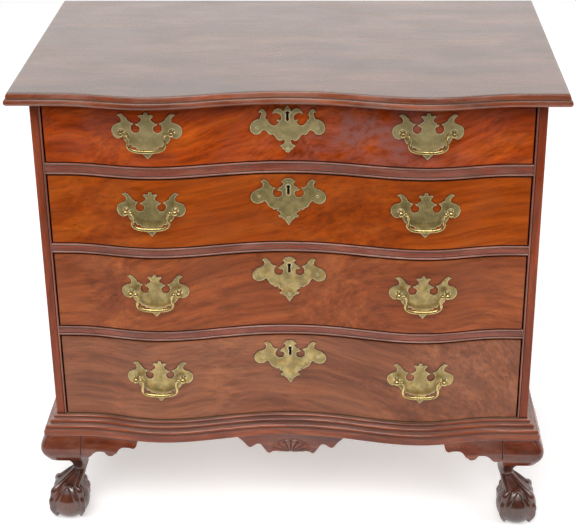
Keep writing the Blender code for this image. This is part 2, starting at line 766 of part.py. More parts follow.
def keyhole_outline(height):
    """Keyhole around (0, height): a round head over a flared slot."""
    head = arc(0.0, height, KEYHOLE_RADIUS, -50, 230, 8)
    slot = KEYHOLE_SLOT / 2
    low = height + KEYHOLE_RADIUS - KEYHOLE_LENGTH
    return head + [(-slot, low + slot), (0.0, low), (slot, low + slot)]


def key_height(index):
    return FRONT_Z[index] + DRAWER_HEIGHTS[index] - KEYHOLE_DROPS[index]


def willow_outline():
    """Half of a willow escutcheon, from its crown to its tip."""
    half = [(0.0, 0.0), (4.2, -0.6), (8.6, -2.6), (13.0, -7.6), (8.6, -11.0), (12.6, -15.4), (16.8, -17.6)]
    half += arc(18.4, -28.2, 8.8, 92, 426, 8)
    half += [(23.4, -17.6), (27.4, -17.0), (31.6, -13.6), (35.6, -9.4), (41.0, -6.6), (47.6, -6.0)]
    half += [(46.2, -11.4), (45.0, -16.4), (50.4, -21.6)]
    half += arc(49.8, -35.0, 13.0, 66, -140, 8)
    half += [(35.6, -47.6), (31.0, -55.0), (24.0, -57.6), (18.8, -58.4), (15.4, -62.6), (12.4, -67.0)]
    half += [(17.6, -69.6), (14.8, -73.8), (9.8, -75.4), (5.2, -82.0), (0.0, -89.0)]
    return half


def horned_outline():
    """Half of the top drawer's escutcheon, with its open horns."""
    half = [(0.0, 4.6), (4.4, -2.4), (7.6, -7.0), (12.4, -2.6), (17.8, -0.2), (23.0, -2.6), (25.6, -10.2)]
    half += [(20.4, -8.0), (13.2, -9.6), (9.6, -15.6), (10.2, -21.4), (17.6, -22.6), (14.2, -26.2)]
    half += arc(22.8, -22.6, 9.8, 212, 346, 6)
    half += [(36.6, -19.8), (36.0, -12.8), (34.8, -5.8), (39.8, -0.4), (49.2, -3.8)]
    half += [(44.6, -9.8), (47.2, -18.0)]
    half += arc(51.6, -33.4, 13.4, 98, -128, 8)
    half += [(38.6, -38.8), (34.6, -45.0), (30.8, -48.6), (25.0, -48.2), (19.6, -54.4), (14.8, -59.4)]
    half += [(8.0, -58.8), (5.4, -61.6), (14.0, -69.6), (9.6, -73.4), (5.6, -75.8), (0.0, -80.4)]
    return half


def sheet_of_brass(name, outlines):
    middle = FRONT_Y - SEAM - PLATE_THICKNESS / 2
    return follow_front(prism(name, outlines, PLATE_THICKNESS, "front", (0.0, middle, 0.0)))


def post_axis(index):
    """Depth and height of the line that the bails of a drawer turn about."""
    root = max(chord(OXBOW_APEX_X - POST_SPACING / 2), chord(OXBOW_APEX_X + POST_SPACING / 2))
    y = FRONT_Y + root - SEAM - PLATE_THICKNESS - POST_LENGTH
    z = FRONT_Z[index] + DRAWER_HEIGHTS[index] / 2 + PLATE_TOP_RISE - POST_DROP
    return y, z


def make_post(name, x, y, z):
    ball = POST_BALL_RADIUS
    neck = POST_NECK_RADIUS
    foot = y - FRONT_Y - chord(x) + SEAM + PLATE_THICKNESS / 2
    profile = [(0.0, ball), (ball * 0.72, ball * 0.69), (ball, 0.0), (ball * 0.76, -ball * 0.65)]
    profile += [(neck, -ball), (neck, foot), (0.0, foot)]
    post = turned(name, profile, 8)
    post.matrix_world = Matrix.Translation((x, y, z)) @ Matrix.Rotation(math.pi / 2, 4, "X")
    post = baked(post)
    inward = math.copysign(1.0, (OXBOW_APEX_X - abs(x)) * x)
    eye = BAIL_ROD / 2 + POST_EYE_CLEARANCE
    bm = bmesh.new()
    way = 2 * (ball * 0.7 + SEAM)
    place = Matrix.Translation((x + inward * ball, y, z)) @ Matrix.Rotation(math.pi / 2, 4, "Y")
    bmesh.ops.create_cone(bm, cap_ends=True, segments=8, radius1=eye, radius2=eye, depth=way, matrix=place)
    cut(post, mesh_object(name + "_eye", bm))
    return post


def make_plate(name, index, sign):
    y, z = post_axis(index)
    outline = mirrored(drawn_to(plate_outline(), PLATE_HEIGHT, 0.0, z + POST_DROP))
    outline = [(sign * OXBOW_APEX_X + x, v) for x, v in outline]
    plate = sheet_of_brass(name, [outline])
    for side in (-1, 1):
        x = sign * OXBOW_APEX_X + side * POST_SPACING / 2
        fuse(plate, make_post("%s_post_%d" % (name, side), x, y, z))
    return plate


def bail_line():
    """Half of a bail as (reach, drop, swell), from its pin to the middle of its grip."""
    pin = POST_SPACING / 2 - POST_BALL_RADIUS + BAIL_PIN_DEPTH
    arm = POST_SPACING / 2 - POST_BALL_RADIUS - BAIL_ROD
    arms = [
        (0.10, 0.05, 1.00), (0.18, 0.17, 1.00), (0.20, 0.34, 1.00), (0.15, 0.54, 1.00),
        (0.13, 0.71, 1.00), (0.21, 0.88, 1.05), (0.37, 0.97, 1.12),
    ]
    line = [(pin, 0.0, 0.92), (arm, 0.0, 0.92)]
    line += [(arm - BAIL_DROP * inward, BAIL_DROP * down, swell) for inward, down, swell in arms]
    return line + [(arm * 0.36, BAIL_DROP, 1.36), (0.0, BAIL_DROP, 1.46)]


def make_bail(name, parent, index, sign):
    y, z = post_axis(index)
    half = bail_line()
    points = [(-x, -drop, swell) for x, drop, swell in half]
    points += [(x, -drop, swell) for x, drop, swell in reversed(half[:-1])]
    curve = bpy.data.curves.new(name, "CURVE")
    curve.dimensions = "3D"
    curve.bevel_depth = BAIL_ROD / 2
    curve.bevel_resolution = 1
    curve.use_fill_caps = True
    spline = curve.splines.new("POLY")
    spline.points.add(len(points) - 1)
    for point, (x, height, swell) in zip(spline.points, points):
        point.co = (x, 0.0, height, 1.0)
        point.radius = swell
    bail = bpy.data.objects.new(name, curve)
    PARTS.objects.link(bail)
    return part(bail, "brass", (sign * OXBOW_APEX_X, y, z), parent)


def make_escutcheon(name, index):
    shape = horned_outline() if index == 0 else willow_outline()
    height = HORNED_HEIGHT if index == 0 else WILLOW_HEIGHT
    top = FRONT_Z[index] + DRAWER_HEIGHTS[index] - ESCUTCHEON_DROPS[index]
    outline = mirrored(drawn_to(shape, height, 0.0, top))
    return sheet_of_brass(name, [outline, keyhole_outline(key_height(index))])


# Assembly


def build_case():
    top = make_top()
    cut(top, mortise("top_mortise", 0, UNDER_TOP_GAP))
    part(top, "mahogany")
    part(make_side("side_left", -1), "mahogany")
    part(make_side("side_right", 1), "mahogany")
    part(make_case_bottom(), "pine")
    part(make_back(), "pine")
    for index in range(COUNT - 1):
        rail = make_divider(index)
        cut(rail, mortise("mortise_%d" % (index + 1), index + 1, MORTISE_SPARE))
        part(rail, "mahogany")
    part(make_base(), "mahogany")
    part(make_pendant(), "mahogany")


def build_feet():
    seam = KNEE_INNER + SEAM
    front_start = FRONT_Y + seam
    rear_start = BACK_Y - REAR_FOOT_INSET - seam
    for side, hand in ((-1, "left"), (1, "right")):
        part(make_foot("foot_front_" + hand, side, -1), "dark")
        part(make_foot("foot_rear_" + hand, side, 1), "dark")
        part(make_bracket("bracket_front_" + hand, side, HALF - FOOT_SIDE_INSET - seam, True), "mahogany")
        part(make_bracket("bracket_side_" + hand, side, lambda reach: front_start + reach, False), "mahogany")
        part(make_bracket("bracket_rear_" + hand, side, lambda reach: rear_start - reach, False), "mahogany")


def build_drawer(index):
    number = index + 1
    slide = bpy.data.objects.new("drawer_%d_slide" % number, None)
    PARTS.objects.link(slide)
    slide.location = (0.0, FRONT_Y, FRONT_Z[index])
    origin = tuple(slide.location)
    part(make_drawer_front(index), "mahogany", origin, slide)
    part(make_drawer_box(index), "pine", origin, slide)
    part(make_drawer_bottom(index), "pine", origin, slide)
    part(make_lock(index), "iron", origin, slide)
    middle, high = bolt_place(index)
    part(make_bolt(index), "iron", (0.0, middle, high), slide)
    part(make_escutcheon("escutcheon_%d" % number, index), "brass", origin, slide)
    for sign, hand in ((-1, "left"), (1, "right")):
        part(make_plate("pull_plate_%d_%s" % (number, hand), index, sign), "brass", origin, slide)
        make_bail("bail_%d_%s" % (number, hand), slide, index, sign)


build_case()
build_feet()
for row in range(COUNT):
    build_drawer(row)
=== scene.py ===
"""Oxbow chest of drawers on claw-and-ball feet: fine pieces, finishes and studio.

Metres, +Z up, the front faces -Y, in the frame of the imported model.
"""
import logging
import math
from dataclasses import dataclass, field, replace
from enum import Enum
from typing import Callable, Sequence

import bmesh
import bpy
from mathutils import Matrix, Vector


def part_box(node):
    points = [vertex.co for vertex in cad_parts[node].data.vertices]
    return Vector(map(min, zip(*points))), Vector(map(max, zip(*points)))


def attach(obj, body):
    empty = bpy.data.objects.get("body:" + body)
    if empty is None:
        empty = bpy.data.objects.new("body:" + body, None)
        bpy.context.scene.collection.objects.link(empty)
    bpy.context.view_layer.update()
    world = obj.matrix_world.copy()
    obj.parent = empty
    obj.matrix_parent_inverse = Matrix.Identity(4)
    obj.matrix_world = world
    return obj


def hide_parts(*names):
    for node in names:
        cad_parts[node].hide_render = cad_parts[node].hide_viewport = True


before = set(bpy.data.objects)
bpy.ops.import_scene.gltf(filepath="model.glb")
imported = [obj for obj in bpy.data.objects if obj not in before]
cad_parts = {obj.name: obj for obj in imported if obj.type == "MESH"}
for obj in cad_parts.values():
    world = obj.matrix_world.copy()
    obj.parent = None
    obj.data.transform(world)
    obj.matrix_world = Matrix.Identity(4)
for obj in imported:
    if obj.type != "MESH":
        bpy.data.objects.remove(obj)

Point2 = tuple[float, float]
Point3 = tuple[float, float, float]
Colour = tuple[float, float, float]
Runs = Sequence[Sequence[Point2]]
Socket = bpy.types.NodeSocket
Sockets = dict[str, Socket]
Values = dict[str | int, object]

LOG = logging.getLogger("oxbow_chest")
STARTUP_OBJECTS = ("Cube", "Camera", "Light")
DRAWERS = (1, 2, 3, 4)
HANDS = (("left", -1), ("right", 1))
SEAM = 0.0003
BEAD_WIDTH = 0.0035
BEAD_PROUD = 0.0020
SAME_POINT = 1e-6

for leftover in STARTUP_OBJECTS:
    if leftover in bpy.data.objects:
        bpy.data.objects.remove(bpy.data.objects[leftover])
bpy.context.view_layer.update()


# Lines that the pieces share


@dataclass(frozen=True)
class Oxbow:
    """Plan curve of the front: a swell to each side of a hollow in the middle."""

    swell: float = 0.020
    hollow: float = 0.0115
    apex: float = 0.236
    end: float = 0.385
    skew: float = 1.1
    step: float = 0.005

    def depth(self, x: float) -> float:
        """Depth of the front line behind the case front.

        Args:
            x: Place along the front.

        Returns:
            The depth, negative on the swells.
        """
        x = abs(x)
        if x >= self.end:
            return 0.0
        if x >= self.apex:
            share = (x - self.apex) / (self.end - self.apex)
            return -self.swell * (1 + math.cos(math.pi * share)) / 2
        share = (x / self.apex) ** self.skew
        return self.hollow - (self.swell + self.hollow) * (1 - math.cos(math.pi * share)) / 2

    def stations(self, half: float) -> list[float]:
        """Evenly spaced places from -half to half, close enough together to look smooth."""
        count = math.ceil(2 * half / self.step)
        return [-half + 2 * half * i / count for i in range(count + 1)]


OXBOW = Oxbow()


@dataclass(frozen=True)
class CasePlan:
    """Lines of the case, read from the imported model."""

    half: float
    inner_half: float
    front_y: float
    back_y: float
    surface: float
    base_top: float
    foot_top: float

    @classmethod
    def from_frame(cls) -> "CasePlan":
        """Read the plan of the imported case.

        Returns:
            The plan.
        """
        side_low, side_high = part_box("side_right")
        base_low, base_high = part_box("base_molding")
        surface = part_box("top")[1].z
        front_y = side_low.y + BEAD_PROUD
        return cls(side_high.x, side_low.x, front_y, side_high.y, surface, base_high.z, base_low.z)

    def front(self, x: float, proud: float = 0.0) -> float:
        """Depth of the front line at a place, standing proud of the case."""
        return self.front_y - proud + OXBOW.depth(x)


PLAN = CasePlan.from_frame()


# Mesh making


def flowing(runs: Runs, steps: int = 4) -> list[Point2]:
    """A line that is smooth along each run of points and sharp where runs meet.

    Args:
        runs: Runs of points; each but the first goes on from the end of the one before it.
        steps: Stretches drawn between two points of a run.

    Returns:
        The points of the whole line.
    """
    line = [tuple(runs[0][0])]
    start: Sequence[Point2] = ()
    for run in runs:
        points = [Vector(point) for point in (*start, *run)]
        start = run[-1:]
        if len(points) == 2:
            line.append(tuple(points[1]))
            continue
        points = [2 * points[0] - points[1]] + points + [2 * points[-1] - points[-2]]
        for a, b, c, d in zip(points, points[1:], points[2:], points[3:]):
            for k in range(1, steps + 1):
                t = k / steps
                point = 2 * b + (c - a) * t + (2 * a - 5 * b + 4 * c - d) * t ** 2
                point += (3 * b - a - 3 * c + d) * t ** 3
                line.append(tuple(point / 2))
    return line


def flowing_values(values: Sequence[float], steps: int) -> list[float]:
    """Values that run as smoothly as the points of one run."""
    return [value for value, _ in flowing([[(value, 0.0) for value in values]], steps)]


def arc(centre: Point2, radius: float, start: float, end: float, steps: int) -> list[Point2]:
    """Points of an arc from one angle to another, in degrees."""
    angles = [math.radians(start + (end - start) * i / steps) for i in range(steps + 1)]
    return [(centre[0] + radius * math.cos(a), centre[1] + radius * math.sin(a)) for a in angles]


def quarter(steps: int) -> list[Point2]:
    """Sines and cosines at even steps through a quarter turn."""
    turns = [math.pi / 2 * i / steps for i in range(steps + 1)]
    return [(math.sin(a), math.cos(a)) for a in turns]


def bead_line(proud: float = BEAD_PROUD) -> list[Point2]:
    """Half-round bead along a drawer opening, as (distance from the opening, proud) points."""
    turns = [math.pi * i / 8 for i in range(9)]
    return [(BEAD_WIDTH * (1 - math.cos(a)) / 2, proud * math.sin(a)) for a in turns]


def on_bead(face: bpy.types.MeshPolygon) -> bool:
    """Whether a face of a side or a rail lies on its bead."""
    return face.center.y < PLAN.front(face.center.x, BEAD_PROUD / 4)


def smooth_share(low: float, high: float, value: float) -> float:
    """A soft step from 0 at low to 1 at high."""
    share = min(max((value - low) / (high - low), 0.0), 1.0)
    return share * share * (3 - 2 * share)


def new_object(name: str, data: bpy.types.ID) -> bpy.types.Object:
    """Put new data into the scene.

    Args:
        name: Name of the object.
        data: Its mesh, curve, lens or light.

    Returns:
        The new object.
    """
    obj = bpy.data.objects.new(name, data)
    bpy.context.scene.collection.objects.link(obj)
    return obj


def mesh_object(name: str, bm: bmesh.types.BMesh, sharp: float = 35.0) -> bpy.types.Object:
    """An object from a mesh in the making.

    Args:
        name: Name of the object.
        bm: The mesh, which is used up.
        sharp: Angle in degrees over which an edge stays crisp.

    Returns:
        The new object.
    """
    bmesh.ops.recalc_face_normals(bm, faces=bm.faces)
    mesh = bpy.data.meshes.new(name)
    bm.to_mesh(mesh)
    bm.free()
    mesh.shade_smooth()
    mesh.set_sharp_from_angle(angle=math.radians(sharp))
    return new_object(name, mesh)


def skin(bm: bmesh.types.BMesh, sections: Sequence[Sequence[Point3]]) -> None:
    """Draw a skin through closed sections of equal counts, closed at both ends.

    Args:
        bm: Mesh that takes the skin.
        sections: Rings of points, in order.
    """
    rings = [[bm.verts.new(point) for point in section] for section in sections]
    count = len(rings[0])
    for near, far in zip(rings, rings[1:]):
        for i in range(count):
            j = (i + 1) % count
            bm.faces.new((near[i], near[j], far[j], far[i]))
    bm.faces.new(rings[0])
    bm.faces.new(rings[-1])


def skinned(name: str, sections: Sequence[Sequence[Point3]], sharp: float = 35.0) -> bpy.types.Object:
    """An object made of one skin.

    Args:
        name: Name of the object.
        sections: Rings of points, in order.
        sharp: Angle in degrees over which an edge stays crisp.

    Returns:
        The new object.
    """
    bm = bmesh.new()
    skin(bm, sections)
    return mesh_object(name, bm, sharp)


def take_in(bm: bmesh.types.BMesh, mesh: bpy.types.Mesh) -> None:
    """Add a spare mesh, which is used up, to a mesh in the making."""
    bm.from_mesh(mesh)
    bpy.data.meshes.remove(mesh)


def block(bm: bmesh.types.BMesh, low: Point3, high: Point3) -> None:
    """Add a plain block between two corners to a mesh in the making.

    Args:
        bm: Mesh that takes the block.
        low: One corner.
        high: The opposite corner.
    """
    middle = (Vector(low) + Vector(high)) / 2
    size = [abs(a - b) for a, b in zip(low, high)]
    place = Matrix.Translation(middle) @ Matrix.Diagonal((*size, 1.0))
    bmesh.ops.create_cube(bm, size=1.0, matrix=place)


def block_object(name: str, low: Point3, high: Point3) -> bpy.types.Object:
    """A plain block between two corners, used as a cutter.

    Args:
        name: Name of the object.
        low: One corner.
        high: The opposite corner.

    Returns:
        The new object.
    """
    bm = bmesh.new()
    block(bm, low, high)
    return mesh_object(name, bm)


def baked_mesh(obj: bpy.types.Object) -> bpy.types.Mesh:
    """The evaluated mesh of an object that is then removed.

    Args:
        obj: Object with its modifiers or curve settings.

    Returns:
        A mesh in world space.
    """
    bpy.context.view_layer.update()
    graph = bpy.context.evaluated_depsgraph_get()
    mesh = bpy.data.meshes.new_from_object(obj.evaluated_get(graph))
    mesh.transform(obj.matrix_world)
    bpy.data.objects.remove(obj)
    return mesh


def baked(obj: bpy.types.Object, sharp: float = 35.0) -> bpy.types.Object:
    """An object with its modifiers applied.

    Args:
        obj: Object that is used up.
        sharp: Angle in degrees over which an edge stays crisp.

    Returns:
        A plain mesh object of the same name.
    """
    name = obj.name
    bm = bmesh.new()
    take_in(bm, baked_mesh(obj))
    bmesh.ops.remove_doubles(bm, verts=bm.verts, dist=SAME_POINT)
    return mesh_object(name, bm, sharp)


def carved(obj: bpy.types.Object, cutters: Sequence[bpy.types.Object]) -> bpy.types.Object:
    """An object with cutters taken out of it.

    Args:
        obj: Object that is used up.
        cutters: Closed shapes, which are used up too.

    Returns:
        The cut object, of the same name.
    """
    for cutter in cutters:
        modifier = obj.modifiers.new(cutter.name, "BOOLEAN")
        modifier.operation = "DIFFERENCE"
        modifier.solver = "EXACT"
        modifier.object = cutter
    made = baked(obj)
    for cutter in cutters:
        bpy.data.objects.remove(cutter)
    return made


def tube_mesh(name: str, path: Sequence[Point3], radii: Sequence[float], detail: int) -> bpy.types.Mesh:
    """A closed tube of changing thickness along a path.

    Args:
        name: Name of the mesh.
        path: Points that the tube follows.
        radii: Its radius at each point.
        detail: Smoothness of its round.

    Returns:
        The mesh of the tube.
    """
    curve = bpy.data.curves.new(name, "CURVE")
    curve.dimensions = "3D"
    curve.bevel_depth = 1.0
    curve.bevel_resolution = detail
    curve.use_fill_caps = True
    spline = curve.splines.new("POLY")
    spline.points.add(len(path) - 1)
    for point, place, radius in zip(spline.points, path, radii):
        point.co = (*place, 1.0)
        point.radius = radius
    return baked_mesh(new_object(name, curve))


def sheet_object(name: str, outlines: Runs, thickness: float, bevel: float) -> bpy.types.Object:
    """A flat outline facing the front, with inner outlines as holes, as a thick sheet.

    Args:
        name: Name of the object.
        outlines: Outer outline, then any holes, as (x, z) points.
        thickness: Thickness of the sheet.
        bevel: Width of the soft edge along its outlines.

    Returns:
        The sheet, centred on y = 0.
    """
    curve = bpy.data.curves.new(name, "CURVE")
    curve.dimensions = "2D"
    curve.fill_mode = "BOTH"
    curve.extrude = thickness / 2 - bevel
    curve.bevel_depth = bevel
    curve.bevel_resolution = 1
    curve.offset = -bevel
    for outline in outlines:
        spline = curve.splines.new("POLY")
        spline.points.add(len(outline) - 1)
        for point, (u, v) in zip(spline.points, outline):
            point.co = (u, v, 0.0, 1.0)
        spline.use_cyclic_u = True
    obj = new_object(name, curve)
    obj.rotation_euler = (math.pi / 2, 0.0, 0.0)
    return baked(obj)


def lathe(bm: bmesh.types.BMesh, profile: Sequence[Point2], foot: Point3, sides: int = 24) -> None:
    """Turn a profile about a line that stands out of the front.

    Args:
        bm: Mesh that takes the shape.
        profile: (radius, reach) points from the foot outward; both ends lie on the line.
        foot: Foot of the line.
        sides: Facets around the shape.
    """
    x, y, z = foot
    rings = []
    for radius, reach in profile[1:-1]:
        ring = []
        for i in range(sides):
            a = 2 * math.pi * i / sides
            ring.append(bm.verts.new((x + radius * math.cos(a), y - reach, z + radius * math.sin(a))))
        rings.append(ring)
    first = bm.verts.new((x, y - profile[0][1], z))
    last = bm.verts.new((x, y - profile[-1][1], z))
    for i in range(sides):
        j = (i + 1) % sides
        bm.faces.new((first, rings[0][i], rings[0][j]))
        bm.faces.new((last, rings[-1][j], rings[-1][i]))
        for near, far in zip(rings, rings[1:]):
            bm.faces.new((near[i], far[i], far[j], near[j]))


def bend_to_front(obj: bpy.types.Object, step: float = 0.005) -> None:
    """Bend a flat piece, in place, to the front line.

    Args:
        obj: Piece made as if the front were flat.
        step: Width of the strips that it bends in.
    """
    bm = bmesh.new()
    bm.from_mesh(obj.data)
    reach = [vertex.co.x for vertex in bm.verts]
    for i in range(math.ceil(min(reach) / step), math.floor(max(reach) / step) + 1):
        parts = bm.verts[:] + bm.edges[:] + bm.faces[:]
        bmesh.ops.bisect_plane(bm, geom=parts, dist=1e-7, plane_co=(i * step, 0, 0), plane_no=(1, 0, 0))
    for vertex in bm.verts:
        vertex.co.y += OXBOW.depth(vertex.co.x)
    bm.to_mesh(obj.data)
    bm.free()


# Shader nodes


class Nodes:
    """Adds shader nodes to one tree and wires them in the same call."""

    def __init__(self, tree: bpy.types.NodeTree) -> None:
        """Keep the tree that the nodes go into."""
        self.tree = tree

    def feed(self, node: bpy.types.Node, values: Values) -> None:
        """Give inputs of a node their values.

        Args:
            node: The node.
            values: A constant or another node's socket for each input.
        """
        for key, value in values.items():
            if isinstance(value, Socket):
                self.tree.links.new(value, node.inputs[key])
            else:
                node.inputs[key].default_value = value

    def add(self, kind: str, values: Values | None = None, **settings: object) -> bpy.types.Node:
        """Add a node.

        Args:
            kind: Blender's name for the node.
            values: A constant or another node's socket for each input.
            settings: Properties of the node itself.

        Returns:
            The new node.
        """
        node = self.tree.nodes.new(kind)
        for key, value in settings.items():
            setattr(node, key, value)
        self.feed(node, values or {})
        return node

    def math(self, operation: str, first: object, second: object = 0.0) -> Socket:
        """Work out a value from two others."""
        return self.add("ShaderNodeMath", {0: first, 1: second}, operation=operation).outputs[0]

    def spread(self, value: object, low: float, high: float, out: Point2 = (0.0, 1.0)) -> Socket:
        """Stretch the values from low to high over another range, clamped."""
        values = {"Value": value, "From Min": low, "From Max": high, "To Min": out[0], "To Max": out[1]}
        return self.add("ShaderNodeMapRange", values).outputs[0]

    def blend(self, share: object, first: object, second: object) -> Socket:
        """Mix two colours by a share."""
        return self.add("ShaderNodeMix", {0: share, 6: first, 7: second}, data_type="RGBA").outputs[2]

    def glaze(self, under: object, mask: object, amount: float, over: Colour) -> Socket:
        """Lay a colour over another where a mask shows, by an amount."""
        return self.blend(self.math("MULTIPLY", mask, amount), under, (*over, 1.0))

    def scaled(self, vector: object, factors: object) -> Socket:
        """Multiply a vector or colour, part by part."""
        return self.add("ShaderNodeVectorMath", {0: vector, 1: factors}, operation="MULTIPLY").outputs[0]

    def noise(self, vector: object, detail: float, rough: float = 0.5, scale: float = 1.0) -> Socket:
        """Cloudy values around one half."""
        values = {"Vector": vector, "Scale": scale, "Detail": detail, "Roughness": rough}
        return self.add("ShaderNodeTexNoise", values).outputs[0]

    def ramp(self, value: object, stops: Sequence[tuple[float, Colour]]) -> Socket:
        """Run through colours with a value.

        Args:
            value: A socket that gives the value.
            stops: The colours, each with the value that it stands at.

        Returns:
            The colour.
        """
        node = self.add("ShaderNodeValToRGB", {0: value})
        points = node.color_ramp.elements
        while len(points) < len(stops):
            points.new(0.5)
        for point, (place, colour) in zip(points, stops):
            point.position = place
            point.color = (*colour, 1.0)
        return node.outputs[0]


class SharedEffect:
    """A shader node group that is built once and placed in many materials."""

    name = ""
    takes: Sequence[tuple[str, str, object]] = ()
    gives: Sequence[str] = ()

    def wire(self, nodes: Nodes, given: bpy.types.Node) -> Sockets:
        """Lay the group's nodes and give a socket for each named output."""
        raise NotImplementedError

    def tree(self) -> bpy.types.NodeTree:
        """Find the group's tree, or build it at its first use.

        Returns:
            The tree.
        """
        if self.name in bpy.data.node_groups:
            return bpy.data.node_groups[self.name]
        tree = bpy.data.node_groups.new(self.name, "ShaderNodeTree")
        for label, kind, value in self.takes:
            socket = tree.interface.new_socket(label, in_out="INPUT", socket_type=kind)
            socket.default_value = value
        for label in self.gives:
            tree.interface.new_socket(label, in_out="OUTPUT", socket_type="NodeSocketFloat")
        nodes = Nodes(tree)
        results = self.wire(nodes, nodes.add("NodeGroupInput"))
        nodes.add("NodeGroupOutput", dict(results))
        return tree

    def place(self, nodes: Nodes, **values: object) -> Sockets:
        """Place the group in a material.

        Args:
            nodes: Nodes of the material.
            values: A constant or socket for each input, spaces in names as underscores.

        Returns:
            The group's outputs by name.
        """
        named = {key.replace("_", " "): value for key, value in values.items()}
        placed = nodes.add("ShaderNodeGroup", named, node_tree=self.tree())
        return {socket.name: socket for socket in placed.outputs}


class WoodFigure(SharedEffect):
    """Figure of a board whose grain runs along X, bowed where the tree forked."""

    name = "wood_figure"
    takes = (
        ("Vector", "NodeSocketVector", (0.0, 0.0, 0.0)),
        ("Sway", "NodeSocketFloat", 0.04),
        ("Slope", "NodeSocketFloat", 0.0),
        ("Bow", "NodeSocketFloat", 0.0),
        ("Bow At", "NodeSocketFloat", 0.0),
        ("Width", "NodeSocketFloat", 28.0),
    )
    gives = ("Figure", "Streaks", "Flecks", "Pores", "Blotch", "Specks")

    def wire(self, nodes: Nodes, given: bpy.types.Node) -> Sockets:
        """Lay the group's nodes.

        Args:
            nodes: Nodes of the group's tree.
            given: The node that brings the group's inputs.

        Returns:
            A socket for each named output.
        """
        place = given.outputs["Vector"]
        apart = nodes.add("ShaderNodeSeparateXYZ", {0: place})
        sway = nodes.noise(nodes.scaled(place, (3.2, 2.6, 2.6)), 2.0)
        sway = nodes.math("MULTIPLY", nodes.math("SUBTRACT", sway, 0.5), given.outputs["Sway"])
        along = nodes.math("SUBTRACT", apart.outputs[0], given.outputs["Bow At"])
        along = nodes.math("MAXIMUM", along, 0.0)
        bow = nodes.math("MULTIPLY", nodes.math("MULTIPLY", along, along), given.outputs["Bow"])
        rise = nodes.math("MULTIPLY", apart.outputs[0], given.outputs["Slope"])
        drift = nodes.math("ADD", nodes.math("ADD", sway, bow), rise)
        across = nodes.math("ADD", apart.outputs[1], drift)
        upward = nodes.math("ADD", apart.outputs[2], drift)
        flow = nodes.add("ShaderNodeCombineXYZ", {0: apart.outputs[0], 1: across, 2: upward}).outputs[0]
        width = given.outputs["Width"]
        broad = nodes.add("ShaderNodeCombineXYZ", {0: 2.4, 1: width, 2: width})
        flecks = nodes.noise(nodes.scaled(flow, (7.0, 210.0, 210.0)), 2.0)
        dents = nodes.add("ShaderNodeTexVoronoi", {"Vector": place, "Scale": 21.0})
        chance = nodes.add("ShaderNodeSeparateColor", {0: dents.outputs["Color"]}).outputs[0]
        dent = nodes.spread(dents.outputs["Distance"], 0.046, 0.026)
        dent = nodes.math("MULTIPLY", dent, nodes.spread(chance, 0.70, 0.72))
        return {
            "Figure": nodes.noise(nodes.scaled(flow, broad.outputs[0]), 4.0, 0.6),
            "Streaks": nodes.noise(nodes.scaled(flow, (6.0, 115.0, 115.0)), 5.0, 0.66),
            "Flecks": nodes.spread(flecks, 0.60, 0.72),
            "Pores": nodes.noise(nodes.scaled(flow, (110.0, 1500.0, 1500.0)), 1.0),
            "Blotch": nodes.noise(nodes.scaled(place, (9.0, 14.0, 14.0)), 5.0, 0.64),
            "Specks": dent,
        }


class EdgeWearAndHighlight(SharedEffect):
    """Mask of the arrises, worn by hands and cloths, where a painted highlight also lies."""

    name = "rubbed_edges"
    takes = (("Reach", "NodeSocketFloat", 0.0015),)
    gives = ("Edge",)

    def wire(self, nodes: Nodes, given: bpy.types.Node) -> Sockets:
        """Lay the group's nodes.

        Args:
            nodes: Nodes of the group's tree.
            given: The node that brings the group's inputs.

        Returns:
            A socket for each named output.
        """
        soft = nodes.add("ShaderNodeBevel", {"Radius": given.outputs["Reach"]}, samples=6)
        true = nodes.add("ShaderNodeNewGeometry")
        pair = {0: soft.outputs[0], 1: true.outputs["Normal"]}
        turn = nodes.add("ShaderNodeVectorMath", pair, operation="DOT_PRODUCT").outputs["Value"]
        return {"Edge": nodes.spread(turn, 0.985, 0.86)}


class DustAndShadeMask(SharedEffect):
    """Mask of the corners, grooves and gaps that see little open sky: where polish and grime settle, and
    where painted shade stands in for the shade that falls there.
    """

    name = "settled_dust"
    takes = (("Reach", "NodeSocketFloat", 0.01),)
    gives = ("Dust",)

    def wire(self, nodes: Nodes, given: bpy.types.Node) -> Sockets:
        """Lay the group's nodes and give a socket for each named output."""
        open_sky = nodes.add("ShaderNodeAmbientOcclusion", {"Distance": given.outputs["Reach"]}, samples=6)
        return {"Dust": nodes.spread(open_sky.outputs["AO"], 0.90, 0.42)}


WOOD_FIGURE = WoodFigure()
EDGE_WEAR_AND_HIGHLIGHT = EdgeWearAndHighlight()
DUST_AND_SHADE_MASK = DustAndShadeMask()


# Finishes


class Grain(Enum):
    """Direction of a board's grain, as the turn that brings it along X."""

    ACROSS = (0.0, 0.0, 0.0)
    DEPTH = (0.0, 0.0, math.pi / 2)
    UPRIGHT = (0.0, math.pi / 2, 0.0)


class Slot(Enum):
    """Material slot names that the finishes carry."""

    MAHOGANY = "mahogany"
    FOOT = "foot_mahogany"
    PINE = "pine"
    BRASS = "brass"
    IRON = "iron"


def blank_material(name: str) -> tuple[bpy.types.Material, Nodes, bpy.types.Node]:
    """A new material.

    Args:
        name: Name of the material.

    Returns:
        The material, its nodes and its Principled shader.
    """
    made = bpy.data.materials.new(name)
    made.use_nodes = True
    return made, Nodes(made.node_tree), made.node_tree.nodes["Principled BSDF"]


@dataclass(frozen=True)
class Finish:
    """A named finish, which becomes a material at its first use."""

    name: str
    slot: Slot = field(default=Slot.MAHOGANY, kw_only=True)

    def material(self) -> bpy.types.Material:
        """Find the finish's material, or make it at its first use.

        Returns:
            The material.
        """
        if self.name in bpy.data.materials:
            return bpy.data.materials[self.name]
        made, nodes, shader = blank_material(self.name)
        self.lay(nodes, shader)
        return made

    def lay(self, nodes: Nodes, shader: bpy.types.Node) -> None:
        """Lay the finish on the shader; each kind of finish says how."""
        raise NotImplementedError


